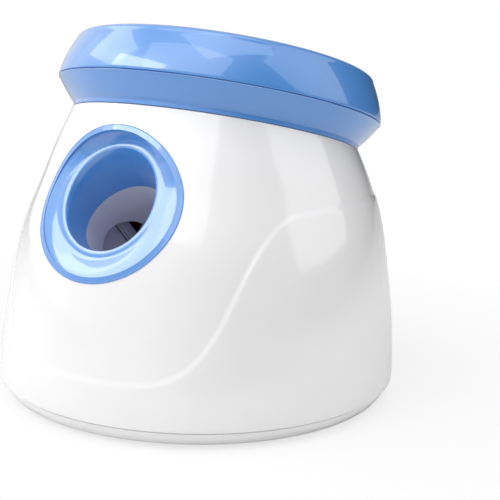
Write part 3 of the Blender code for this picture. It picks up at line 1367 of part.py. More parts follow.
def build_panel(materials):
    """The oblong panel let into the dome's back, with its button, lenses and small board."""
    frame = PANEL_FRAME

    def ring(grow, offset, share=1.0):
        half_width, half_height = (PANEL_HALF_WIDTH + grow) * share, (PANEL_HALF_HEIGHT + grow) * share
        return surface_ring(frame, half_width, half_height, offset, PANEL_SEGMENTS, PANEL_CORNER_POWER)

    back = -WALL - PANEL_SEAT_GAP
    deep = back - PANEL_FLANGE_THICKNESS
    deepest = frame @ Vector((0, 0, deep))
    front = frame @ Vector((0, 0, PANEL_PROUD))
    layers = [[front], ring(0.0, PANEL_PROUD, PANEL_INNER_SHARE), ring(0.0, PANEL_PROUD), ring(0.0, back),
              ring(PANEL_FLANGE, back), ring(PANEL_FLANGE, deep), ring(0.0, deep, PANEL_INNER_SHARE),
              [deepest]]
    panel = piece("control_panel", lofted(layers), materials["dark"])
    board_front = deep - BUTTON_FLANGE_DROP - BUTTON_FLANGE_THICKNESS - BUTTON_STEM
    board_front -= BUTTON_TRAVEL + SWITCH_GAP + SWITCH_HEIGHT
    post = rod(PANEL_POST_RADIUS, board_front + GAP, deep + WALL / 2, SCREW_SEGMENTS)
    join(panel, "panel_posts", gathered([(post, frame @ at(side * PANEL_POST_OUT)) for side in (-1, 1)]))
    cut(panel, "panel_openings", gathered(panel_openings(frame)))
    build_button(materials, deep)
    half_width, half_height = PANEL_BOARD_HALF_WIDTH, PANEL_BOARD_HALF_HEIGHT
    sheet = block((-half_width, -half_height, board_front - PANEL_BOARD_THICKNESS),
                  (half_width, half_height, board_front))
    board = piece("panel_board", sheet, materials["board"], frame)
    switch = block((-SWITCH_HALF_SIZE, -SWITCH_HALF_SIZE, board_front - SINK),
                   (SWITCH_HALF_SIZE, SWITCH_HALF_SIZE, board_front + SWITCH_HEIGHT))
    join(board, "panel_switch", switch, frame)
    lens = turned(((0, deep), (LENS_RADIUS, deep), (LENS_RADIUS, LENS_PROUD - LENS_RADIUS / 3),
                   (LENS_RADIUS * 2 / 3, LENS_PROUD), (0, LENS_PROUD)), SCREW_SEGMENTS)
    for number, place in enumerate(lens_places(), 1):
        piece(f"led_lens_{number}", lens, materials["lens"], frame @ place)


def lens_places():
    """Where the three lenses stand, beside the button."""
    return [at(LENS_OUT, step * LENS_STEP, 0) for step in (-1, 0, 1)]


def panel_openings(frame):
    """The button's hole and the lenses' holes through the panel."""
    holes = []
    holes.append((rod(BUTTON_RADIUS + GAP, -OVERRUN, OVERRUN), frame))
    for place in lens_places():
        holes.append((rod(LENS_RADIUS + GAP, -OVERRUN, OVERRUN, SCREW_SEGMENTS), frame @ place))
    return holes


def build_button(materials, deep):
    """The round power button, its retaining flange and the stem that meets the switch."""
    flange_top = deep - BUTTON_FLANGE_DROP
    flange_low = flange_top - BUTTON_FLANGE_THICKNESS
    stem_end = flange_low - BUTTON_STEM
    soft = BUTTON_RADIUS / 8
    flange = BUTTON_RADIUS + BUTTON_FLANGE
    button = turned(((0, stem_end), (BUTTON_STEM_RADIUS, stem_end), (BUTTON_STEM_RADIUS, flange_low),
                     (flange, flange_low), (flange, flange_top), (BUTTON_RADIUS, flange_top),
                     (BUTTON_RADIUS, BUTTON_PROUD - soft), (BUTTON_RADIUS - soft, BUTTON_PROUD),
                     (0, BUTTON_PROUD - soft / 2)))
    piece("power_button", button, materials["blue"], PANEL_FRAME)


def build_dc_inlet(materials):
    """The round power socket low on the back, with its centre pin."""
    inner = -DC_LENGTH
    floor = DC_SEAT + DC_FLANGE_THICKNESS - DC_SOCKET_DEPTH
    face = DC_SEAT + DC_FLANGE_THICKNESS
    profile = ((0, inner), (DC_BODY_RADIUS, inner), (DC_BODY_RADIUS, DC_SEAT), (DC_FLANGE_RADIUS, DC_SEAT),
               (DC_FLANGE_RADIUS, face), (DC_SOCKET_RADIUS, face), (DC_SOCKET_RADIUS, floor),
               (DC_PIN_RADIUS, floor), (DC_PIN_RADIUS, DC_SEAT), (0, DC_SEAT))
    piece("dc_inlet", turned(profile), materials["dark"], DC_FRAME)


# Screws


def screw_mesh(length):
    """A screw that points along local -Z, with its head's seat at zero."""
    edge = SCREW_HEAD_RADIUS - SCREW_HEAD_HEIGHT / 3
    top = SCREW_HEAD_HEIGHT
    profile = ((0, -length), (SCREW_RADIUS, -length), (SCREW_RADIUS, 0), (SCREW_HEAD_RADIUS, 0),
               (SCREW_HEAD_RADIUS, top / 2), (edge, top), (0, top))
    return turned(profile, SCREW_SEGMENTS)


def build_screws(materials, launch):
    """Screws that hold the barrel, the gearbox cover, the chassis and the two halves of the housing."""
    steel = materials["steel"]
    barrel_screw = screw_mesh(PLATE_OUTER - LUG_BORE_START)
    number = 0
    for turn in (SIDEWAYS, MIRRORED_SIDEWAYS):
        for rise, along in LUG_PLACES:
            number += 1
            place = at(0, rise, along) @ turn @ at(0, 0, PLATE_OUTER + GAP)
            piece(f"barrel_screw_{number}", barrel_screw, steel, place, launch)
    cover_screw = screw_mesh(COVER_SCREW_LENGTH)
    for number, centre in enumerate(POST_CENTRES, 1):
        place = launch_place(centre) @ at(0, 0, COVER_OUTER + GAP)
        piece(f"cover_screw_{number}", cover_screw, steel, place, launch)
    seat = FOOT_HEIGHT + SCREW_HEAD_HEIGHT - 2 * GAP
    upside_down = Matrix.Rotation(math.pi, 4, "X")
    chassis_screw = screw_mesh(TRAY_TOP + FOOT_FLANGE_THICKNESS - seat)
    number = 0
    for side in (-1, 1):
        for y in CHASSIS_SCREW_PLACES:
            number += 1
            x = side * (PLATE_OUTER + FOOT_FLANGE_WIDTH / 2)
            piece(f"chassis_screw_{number}", chassis_screw, steel, at(x, y, seat) @ upside_down)
    base_screw = screw_mesh(BOSS_BOTTOM + BASE_SCREW_REACH - GAP - seat)
    for number, turn in enumerate(BASE_SCREW_ANGLES, 1):
        place = Matrix.Rotation(turn, 4, "Z") @ at(BASE_SCREW_CIRCLE, 0, seat) @ upside_down
        piece(f"base_screw_{number}", base_screw, steel, place)


def main():
    """Build every piece."""
    clear_scene()
    materials = {
        "white": finish("white_plastic", (0.86, 0.87, 0.88), 0.22),
        "blue": finish("blue_plastic", (0.36, 0.56, 0.80), 0.30),
        "grey": finish("grey_plastic", (0.72, 0.73, 0.80), 0.45),
        "gear": finish("gear_plastic", (0.88, 0.87, 0.82), 0.50),
        "dark": finish("dark_plastic", (0.10, 0.11, 0.13), 0.45),
        "red": finish("red_window", (0.25, 0.01, 0.02), 0.12),
        "lens": finish("clear_lens", (0.55, 0.75, 0.60), 0.15),
        "rubber": finish("foot_rubber", (0.07, 0.07, 0.08), 0.85),
        "steel": finish("plain_steel", (0.62, 0.63, 0.65), 0.32, 1.0),
        "brass": finish("yellow_brass", (0.75, 0.58, 0.28), 0.35, 1.0),
        "board": finish("board_green", (0.05, 0.25, 0.12), 0.50),
        "cell": finish("cell_wrap", (0.16, 0.17, 0.20), 0.40),
    }
    launch = bpy.data.objects.new("launch_frame", None)
    bpy.context.scene.collection.objects.link(launch)
    launch.matrix_basis = LAUNCH_FRAME
    build_body_shell(materials)
    build_rim_collar(materials)
    build_hopper(materials)
    build_muzzle_bezel(materials)
    build_barrel(materials, launch)
    build_chute(materials, launch)
    build_striker(materials, launch)
    build_spring(materials, launch)
    build_spring_seat(materials, launch)
    build_chassis(materials, launch)
    build_gear_train(materials, launch)
    build_gearbox_cover(materials, launch)
    build_base(materials)
    build_panel(materials)
    build_dc_inlet(materials)
    build_screws(materials, launch)


main()
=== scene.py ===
"""Looks of an automatic ball launcher for small dogs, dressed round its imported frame.

Every length is in metres on the frame's own axes: +Z up, the muzzle towards -Y, and the origin on
the floor at the centre of the footprint. The outer mouldings are made again with a fine surface in
the place of their plain solids. The inner works keep their solids, with eased edges and real finishes.
"""

import json
import logging
import math
from dataclasses import dataclass, field
from enum import Enum
from typing import Callable, Iterable, Optional, Sequence

import bmesh
import bpy
from mathutils import Matrix, Vector

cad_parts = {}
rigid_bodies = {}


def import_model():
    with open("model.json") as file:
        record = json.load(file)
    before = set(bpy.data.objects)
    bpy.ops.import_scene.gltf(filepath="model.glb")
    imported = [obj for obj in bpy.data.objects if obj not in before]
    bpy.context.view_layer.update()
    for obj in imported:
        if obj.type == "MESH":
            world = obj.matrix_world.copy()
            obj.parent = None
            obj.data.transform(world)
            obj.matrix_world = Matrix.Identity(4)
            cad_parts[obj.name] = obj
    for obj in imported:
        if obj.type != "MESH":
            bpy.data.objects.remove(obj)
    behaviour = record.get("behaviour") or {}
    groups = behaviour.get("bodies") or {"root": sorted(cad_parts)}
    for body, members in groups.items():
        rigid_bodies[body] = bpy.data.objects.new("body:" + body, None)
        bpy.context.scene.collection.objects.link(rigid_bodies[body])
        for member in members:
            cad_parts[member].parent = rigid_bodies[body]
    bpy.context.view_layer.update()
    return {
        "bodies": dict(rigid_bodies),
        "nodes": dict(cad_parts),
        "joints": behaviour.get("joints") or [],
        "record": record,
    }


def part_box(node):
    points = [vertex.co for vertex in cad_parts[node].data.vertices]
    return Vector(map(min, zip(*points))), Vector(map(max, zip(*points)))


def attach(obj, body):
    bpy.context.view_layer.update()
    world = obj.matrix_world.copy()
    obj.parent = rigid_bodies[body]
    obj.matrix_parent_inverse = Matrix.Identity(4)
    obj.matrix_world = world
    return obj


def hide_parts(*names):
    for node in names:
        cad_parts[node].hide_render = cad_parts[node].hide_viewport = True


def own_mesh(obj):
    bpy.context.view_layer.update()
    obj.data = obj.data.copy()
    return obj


LOG = logging.getLogger("ball_launcher")
GAP = 0.0003
OVERRUN = 0.01
SINK = 0.0005
SMOOTH_ANGLE = math.radians(34)

Ring = list[Vector]
Profile = Sequence[tuple[float, float]]
Colour = tuple[float, float, float]
Step = tuple[str, bpy.types.Mesh, Matrix]


class Body(Enum):
    """The bodies of the frame that new pieces ride on."""

    HOUSING = "housing"
    BUTTON = "power_button"
    DOOR = "battery_door"


class Slot(Enum):
    """The record's material slots."""

    WHITE = "white_plastic"
    BLUE = "blue_plastic"
    GREY = "grey_plastic"
    GEAR = "gear_plastic"
    DARK = "dark_plastic"
    RED = "red_window"
    LENS = "clear_lens"
    RUBBER = "foot_rubber"
    STEEL = "plain_steel"
    BRASS = "yellow_brass"
    BOARD = "board_green"
    CELL = "cell_wrap"


class Stock:
    """Raw shapes that the pieces are cut and built from."""

    @staticmethod
    def ring(radius: float, height: float, count: int) -> Ring:
        """A level circle of points about local Z.

        Args:
            radius: The circle's radius.
            height: Its height on local Z.
            count: How many points it has.

        Returns:
            The points, or a single point where the radius is zero.
        """
        if radius <= 0:
            return [Vector((0, 0, height))]
        turns = [math.tau * k / count for k in range(count)]
        return [Vector((radius * math.cos(t), radius * math.sin(t), height)) for t in turns]

    @staticmethod
    def loft(layers: Sequence[Ring], closed: bool = False) -> bpy.types.Mesh:
        """A closed mesh through rings of points.

        Args:
            layers: The rings in order. A ring of one point makes a fan.
            closed: True where the last ring joins the first, as in a tube.

        Returns:
            The mesh, smooth but sharp at its edges.
        """
        shape = bmesh.new()
        rows = [[shape.verts.new(point) for point in layer] for layer in layers]
        pairs = list(zip(rows, rows[1:]))
        if closed:
            pairs.append((rows[-1], rows[0]))
        for low, high in pairs:
            count = max(len(low), len(high))
            for i in range(count):
                j = (i + 1) % count
                if len(low) == 1:
                    shape.faces.new((low[0], high[i], high[j]))
                elif len(high) == 1:
                    shape.faces.new((low[i], low[j], high[0]))
                else:
                    shape.faces.new((low[i], low[j], high[j], high[i]))
        if not closed:
            for row in (rows[0], rows[-1]):
                if len(row) > 2:
                    shape.faces.new(row)
        bmesh.ops.recalc_face_normals(shape, faces=shape.faces)
        return Stock.shaded(shape)

    @staticmethod
    def shaded(shape: bmesh.types.BMesh) -> bpy.types.Mesh:
        """The finished mesh of a bmesh, smooth but sharp at its edges."""
        mesh = bpy.data.meshes.new("stock")
        shape.to_mesh(mesh)
        shape.free()
        mesh.shade_smooth()
        mesh.set_sharp_from_angle(angle=SMOOTH_ANGLE)
        return mesh

    @staticmethod
    def eased(corners: Sequence[Sequence[float]], steps: int = 4) -> list[tuple[float, float]]:
        """A flat run of points whose corners are rounded.

        Args:
            corners: Each corner as x, y and, where it is rounded, how far the rounding reaches.
            steps: How many spans each rounding has.

        Returns:
            The run's points in order.
        """
        run: list[tuple[float, float]] = []
        for number, corner in enumerate(corners):
            here = Vector(corner[:2])
            reach = corner[2] if len(corner) > 2 else 0.0
            if reach <= 0 or number in (0, len(corners) - 1):
                run.append((here.x, here.y))
                continue
            before = Vector(corners[number - 1][:2]) - here
            after = Vector(corners[number + 1][:2]) - here
            start = here + before.normalized() * min(reach, before.length / 2)
            end = here + after.normalized() * min(reach, after.length / 2)
            for k in range(steps + 1):
                share = k / steps
                rest = 1 - share
                point = rest * rest * start + 2 * rest * share * here + share * share * end
                run.append((point.x, point.y))
        return run

    @staticmethod
    def turned(profile: Profile, count: int) -> bpy.types.Mesh:
        """A mesh turned about local Z.

        Args:
            profile: Radius and height pairs, from axis to axis, or a closed run off the axis.
            count: How many segments the turn has.

        Returns:
            The turned mesh.
        """
        run = list(profile)
        off_axis = all(radius > 0 for radius, _ in run)
        if run[0][0] == 0 and run[0][1] == run[1][1]:
            run = run[1:]
        if run[-1][0] == 0 and run[-1][1] == run[-2][1]:
            run = run[:-1]
        return Stock.loft([Stock.ring(r, h, count) for r, h in run], closed=off_axis)

    @staticmethod
    def rod(radius: float, low: float, high: float, count: int = 32) -> bpy.types.Mesh:
        """A plain round rod along local Z."""
        return Stock.turned(((0, low), (radius, low), (radius, high), (0, high)), count)

    @staticmethod
    def prism(outline: Profile, low: float, high: float) -> bpy.types.Mesh:
        """A straight prism along local Z over a flat outline."""
        return Stock.loft([[Vector((x, y, z)) for x, y in outline] for z in (low, high)])

    @staticmethod
    def block(low: Sequence[float], high: Sequence[float], ease: float = 0.0) -> bpy.types.Mesh:
        """A box between two corners.

        Args:
            low: Its lowest corner.
            high: Its highest corner.
            ease: How far its edges are rounded.

        Returns:
            The box.
        """
        (x0, y0, z0), (x1, y1, z1) = low, high
        mesh = Stock.prism(((x0, y0), (x1, y0), (x1, y1), (x0, y1)), z0, z1)
        if ease <= 0:
            return mesh
        shape = bmesh.new()
        shape.from_mesh(mesh)
        bmesh.ops.bevel(shape, geom=shape.edges[:], offset=ease, segments=3, profile=0.5, affect="EDGES")
        return Stock.shaded(shape)

    @staticmethod
    def gathered(parts: Iterable[tuple[bpy.types.Mesh, Matrix]]) -> bpy.types.Mesh:
        """One mesh of several meshes, each moved by its own matrix."""
        shape = bmesh.new()
        for mesh, place in parts:
            moved = mesh.copy()
            moved.transform(place)
            shape.from_mesh(moved)
        return Stock.shaded(shape)

    @staticmethod
    def worked(mesh: bpy.types.Mesh, steps: Iterable[Step]) -> bpy.types.Mesh:
        """A mesh after other meshes were joined to it or cut from it.

        Args:
            mesh: The mesh to start from.
            steps: The Boolean operation, the tool's mesh and its place, in order.

        Returns:
            The finished mesh.
        """
        scene = bpy.context.scene.collection.objects
        owner = bpy.data.objects.new("work", mesh)
        scene.link(owner)
        made = [owner]
        for operation, tool, place in steps:
            helper = bpy.data.objects.new("tool", tool)
            scene.link(helper)
            helper.matrix_world = place
            step = owner.modifiers.new("step", "BOOLEAN")
            step.operation = operation
            step.object = helper
            made.append(helper)
        graph = bpy.context.evaluated_depsgraph_get()
        result = bpy.data.meshes.new_from_object(owner.evaluated_get(graph))
        for thing in made:
            bpy.data.objects.remove(thing)
        result.shade_smooth()
        result.set_sharp_from_angle(angle=SMOOTH_ANGLE)
        return result


SIDEWAYS = Matrix(((0, 0, 1, 0), (1, 0, 0, 0), (0, 1, 0, 0), (0, 0, 0, 1)))
MIRRORED_SIDEWAYS = Matrix(((0, 0, -1, 0), (-1, 0, 0, 0), (0, 1, 0, 0), (0, 0, 0, 1)))
UPSIDE_DOWN = Matrix.Rotation(math.pi, 4, "X")


def at(x: float = 0.0, y: float = 0.0, z: float = 0.0) -> Matrix:
    """A shift."""
    return Matrix.Translation((x, y, z))


def smooth(share: float) -> float:
    """A soft ramp from zero to one."""
    share = min(max(share, 0.0), 1.0)
    return share * share * (3 - 2 * share)


class SmoothCurve:
    """A smooth curve with no overshoot through values at rising shares."""

    def __init__(self, shares: Sequence[float], values: Sequence[float]) -> None:
        """Works out the slopes once.

        Args:
            shares: Where the values lie, in rising order.
            values: The values that the curve passes through.
        """
        self.shares = shares
        self.values = values
        self.steps = [b - a for a, b in zip(shares, shares[1:])]
        slopes = [(b - a) / step for a, b, step in zip(values, values[1:], self.steps)]
        steps = self.steps
        self.bends = [self._end(steps[0], steps[1], slopes[0], slopes[1])]
        for i in range(1, len(slopes)):
            before, after = slopes[i - 1], slopes[i]
            if before * after <= 0:
                self.bends.append(0.0)
                continue
            near, far = 2 * steps[i] + steps[i - 1], steps[i] + 2 * steps[i - 1]
            self.bends.append((near + far) / (near / before + far / after))
        self.bends.append(self._end(steps[-1], steps[-2], slopes[-1], slopes[-2]))

    @staticmethod
    def _end(near_step: float, far_step: float, near_slope: float, far_slope: float) -> float:
        """The slope at an end of the curve."""
        reach = near_step + far_step
        slope = ((2 * near_step + far_step) * near_slope - near_step * far_slope) / reach
        return 0.0 if slope * near_slope <= 0 else slope

    def at(self, share: float) -> float:
        """The curve's value.

        Args:
            share: Where on the curve.

        Returns:
            The value there.
        """
        i = 0
        while i < len(self.steps) - 1 and share >= self.shares[i + 1]:
            i += 1
        t = (share - self.shares[i]) / self.steps[i]
        rest = 1 - t
        start = self.values[i] * (1 + 2 * t) + self.steps[i] * t * self.bends[i]
        end = self.values[i + 1] * (1 + 2 * rest) - self.steps[i] * rest * self.bends[i + 1]
        return rest * rest * start + t * t * end


HEIGHT_SHARES = (0.0, 0.03, 0.08, 0.30, 0.55, 0.78, 1.0)
RADIUS_SHARES = (0.935, 0.973, 1.0, 0.977, 0.927, 0.845, 0.727)
SHIFT_SHARES = (0.0, 0.0, 0.0, 0.026, 0.053, 0.111, 0.128)


@dataclass(frozen=True)
class DomeForm:
    """The white dome's surface, which every outer piece follows."""

    radius: float = 0.1329
    height: float = 0.171
    tilt: float = math.radians(13.1)
    wall: float = 0.0025
    top_ledge: float = 0.0086
    seam_height: float = 0.011
    foot_height: float = 0.002
    step_proud: float = 0.0009
    step_half_width: float = 0.0021
    step_low_share: float = 0.19
    step_high_share: float = 0.74
    step_centre: float = math.radians(43.2)
    step_spread: float = math.radians(5.35)
    step_climb_share: float = 0.103
    step_climb_from: float = math.radians(66)
    fade_from: float = math.radians(115)
    fade_to: float = math.radians(165)
    ray_start: float = 0.040
    radii: SmoothCurve = field(default_factory=lambda: SmoothCurve(HEIGHT_SHARES, RADIUS_SHARES))
    shifts: SmoothCurve = field(default_factory=lambda: SmoothCurve(HEIGHT_SHARES, SHIFT_SHARES))

    def section(self, share: float) -> tuple[Vector, float, float]:
        """The dome's round section.

        Args:
            share: The share of the dome's height.

        Returns:
            The section's centre, its radius and how far it leans back.
        """
        seam_share = (self.seam_height + GAP) / self.height
        lean = max(share - seam_share, 0.0) / (1 - seam_share)
        centre = Vector((0, self.shifts.at(share) * self.radius, share * self.height))
        return centre, self.radii.at(share) * self.radius, lean * self.tilt

    def point(self, share: float, turn: float, grow: float = 0.0) -> Vector:
        """A point on the dome's wall.

        Args:
            share: The share of the dome's height.
            turn: The angle from +X towards +Y.
            grow: How far outside the wall the point lies.

        Returns:
            The point.
        """
        centre, radius, tilt = self.section(share)
        back = (radius + grow) * math.sin(turn)
        along = (radius + grow) * math.cos(turn)
        return centre + Vector((along, back * math.cos(tilt), -back * math.sin(tilt)))

    def excess(self, point: Vector) -> float:
        """How far a point lies outside the dome's surface.

        Args:
            point: The point.

        Returns:
            The distance, which is negative inside.
        """
        share = point.z / self.height
        for _ in range(4):
            centre, radius, tilt = self.section(min(max(share, 0.0), 1.0))
            share = (point.z + math.tan(tilt) * (point.y - centre.y)) / self.height
        centre, radius, tilt = self.section(min(max(share, 0.0), 1.0))
        offset = point - centre
        return math.hypot(offset.x, offset.y * math.cos(tilt) - offset.z * math.sin(tilt)) - radius

    def reach(self, origin: Vector, direction: Vector) -> float:
        """How far along a direction from a point inside the dome its surface lies.

        Args:
            origin: The point inside.
            direction: The direction, of unit length.

        Returns:
            The distance to the surface.
        """
        near, far = 0.0, 2 * self.radius
        for _ in range(12):
            middle = (near + far) / 2
            if self.excess(origin + middle * direction) > 0:
                far = middle
            else:
                near = middle
        low, high = self.excess(origin + near * direction), self.excess(origin + far * direction)
        for _ in range(3):
            middle = near + (far - near) * -low / (high - low)
            here = self.excess(origin + middle * direction)
            if here > 0:
                far, high = middle, here
            else:
                near, low = middle, here
        return middle

    def front(self, height: float) -> float:
        """The y of the dome's front surface at a height."""
        return -self.reach(Vector((0, 0, height)), Vector((0, -1, 0)))

    def back(self, height: float) -> float:
        """The y of the dome's back surface at a height."""
        return self.reach(Vector((0, 0, height)), Vector((0, 1, 0)))

    def fade(self, from_front: float) -> float:
        """How far the soft step has died out, at an angle from the front."""
        return smooth((from_front - self.fade_from) / (self.fade_to - self.fade_from))

    def step_share(self, from_front: float) -> float:
        """The height share of the soft step.

        Args:
            from_front: The angle from the front.

        Returns:
            The share of the dome's height.
        """
        rise = 1 / (1 + math.exp(-(from_front - self.step_centre) / self.step_spread))
        climb = max(from_front - self.step_climb_from, 0.0) * self.step_climb_share
        lift = (self.step_high_share - self.step_low_share) * rise
        return self.step_low_share + lift + climb * (1 - self.fade(from_front))

    def band_share(self, from_front: float) -> float:
        """Half the soft step's upright width, as a share, so that it keeps one width across its run."""
        probe = math.radians(0.5)
        rise = self.step_share(from_front + probe) - self.step_share(max(from_front - probe, 0.0))
        slope = rise * self.height / (2 * probe * self.radius)
        return self.step_half_width * math.sqrt(1 + slope * slope) / self.height

    def frame(self, origin: Sequence[float], pitch: float) -> Matrix:
        """A frame whose Z looks forward along -Y, raised by the pitch, and whose X is sideways."""
        return at(*origin) @ Matrix.Rotation(math.pi / 2 - pitch, 4, "X")

    def back_frame(self, height: float, pitch: float) -> Matrix:
        """A frame on the dome's back whose Z looks along +Y, raised by the pitch."""
        raised = Matrix.Rotation(math.pi / 2 - pitch, 4, "X")
        return at(0, self.back(height), height) @ Matrix.Rotation(math.pi, 4, "Z") @ raised

    def surface_ring(self, frame: Matrix, half_width: float, half_height: float, offset: float,
                     count: int, power: float = 2.0) -> Ring:
        """A ring on the dome's surface, oval or squared, seen along a frame's Z.

        Args:
            frame: The frame.
            half_width: Half the ring's width on the frame's X.
            half_height: Half its height on the frame's Y.
            offset: How far outside the surface it lies.
            count: How many points it has.
            power: Two for an oval, more for a rounded oblong.

        Returns:
            The ring's points.
        """
        direction = frame.to_3x3() @ Vector((0, 0, 1))
        ring = []
        for across, up in unit_outline(count, power):
            start = frame @ Vector((half_width * across, half_height * up, -self.ray_start))
            ring.append(start + (self.reach(start, direction) + offset) * direction)
        return ring


def unit_outline(count: int, power: float = 2.0) -> list[tuple[float, float]]:
    """A unit circle, or a rounded square where the power is above two."""
    points = []
    for k in range(count):
        turn = math.tau * k / count
        across = math.copysign(abs(math.cos(turn)) ** (2 / power), math.cos(turn))
        up = math.copysign(abs(math.sin(turn)) ** (2 / power), math.sin(turn))
        points.append((across, up))
    return points


@dataclass(frozen=True)
class LaunchLine:
    """Sizes along the launch line. Depths count from the mouth back into the barrel."""

    form: DomeForm
    angle: float = math.radians(45)
    mouth_height: float = 0.1375
    mouth_recess: float = 0.0085
    ball_radius: float = 0.0255
    bore_radius: float = 0.0270
    chute_radius: float = 0.0266
    seat_radius: float = 0.0235
    inlet_depth: float = 0.080
    throat_distance: float = 0.088
    tube_depth: float = 0.022
    striker_gap: float = 0.0006
    striker_thickness: float = 0.006
    stroke: float = 0.030
    spring_length: float = 0.053
    plate_inset: float = 0.0312
    plate_outer: float = 0.0337

    @property
    def frame(self) -> Matrix:
        """The frame in the mouth whose Z runs out along the barrel and whose Y runs up and back."""
        y = self.form.front(self.mouth_height) + self.mouth_recess
        return self.form.frame((0, y, self.mouth_height), self.angle)

    @property
    def inlet(self) -> Matrix:
        """The frame at the inlet whose Z runs up the chute."""
        return self.frame @ at(0, 0, -self.inlet_depth) @ Matrix.Rotation(-math.pi / 2, 4, "X")

    @property
    def seat_depth(self) -> float:
        """The depth of the step that the ball rests on."""
        return self.inlet_depth + math.sqrt(self.ball_radius**2 - self.seat_radius**2)

    @property
    def striker_depth(self) -> float:
        """The depth of the striker's face at rest."""
        return self.inlet_depth + self.ball_radius + self.striker_gap

    @property
    def striker_back(self) -> float:
        """The depth of the striker's rear face at rest."""
        return self.striker_depth + self.striker_thickness


class Desk:
    """Adds and links the nodes of one tree."""

    def __init__(self, tree: bpy.types.NodeTree) -> None:
        """Takes the tree to work in."""
        self.tree = tree

    def add(self, kind: str, **settings: object) -> bpy.types.Node:
        """Adds a node.

        Args:
            kind: The node's type, without its ShaderNode prefix.
            settings: Properties by name, or socket values by socket name in place of a property.

        Returns:
            The node.
        """
        name = kind if kind.startswith("NodeGroup") else f"ShaderNode{kind}"
        node = self.tree.nodes.new(name)
        for key, value in settings.items():
            if hasattr(node, key):
                setattr(node, key, value)
            else:
                node.inputs[key.replace("_", " ")].default_value = value
        return node

    def link(self, source: bpy.types.NodeSocket, target: bpy.types.NodeSocket) -> None:
        """Links two sockets."""
        self.tree.links.new(source, target)

    def sum(self, operation: str, first: object, second: object) -> bpy.types.NodeSocket:
        """Works out a value from two others.

        Args:
            operation: The Math node's operation.
            first: A socket or a number.
            second: A socket or a number.

        Returns:
            The socket that holds the result.
        """
        node = self.add("Math", operation=operation)
        for place, value in zip(node.inputs, (first, second)):
            if isinstance(value, bpy.types.NodeSocket):
                self.link(value, place)
            else:
                place.default_value = value
        return node.outputs[0]

    def span(self, value: bpy.types.NodeSocket, low: float, high: float,
             to_low: float = 0.0, to_high: float = 1.0) -> bpy.types.NodeSocket:
        """Maps a value from one span to another and keeps it inside.

        Args:
            value: The socket to map.
            low: The start of its span.
            high: The end of its span.
            to_low: What the start becomes.
            to_high: What the end becomes.

        Returns:
            The socket that holds the result.
        """
        node = self.add("MapRange")
        self.link(value, node.inputs["Value"])
        for name, number in zip(("From Min", "From Max", "To Min", "To Max"), (low, high, to_low, to_high)):
            node.inputs[name].default_value = number
        return node.outputs["Result"]

    def blend(self, share: object, first: object, second: object) -> bpy.types.NodeSocket:
        """Mixes two colours.

        Args:
            share: How much of the second there is.
            first: A colour or a socket.
            second: A colour or a socket.

        Returns:
            The socket that holds the mixed colour.
        """
        node = self.add("Mix", data_type="RGBA")
        for place, value in zip((node.inputs[0], node.inputs[6], node.inputs[7]), (share, first, second)):
            if isinstance(value, bpy.types.NodeSocket):
                self.link(value, place)
            else:
                place.default_value = (*value, 1.0) if isinstance(value, tuple) else value
        return node.outputs[2]


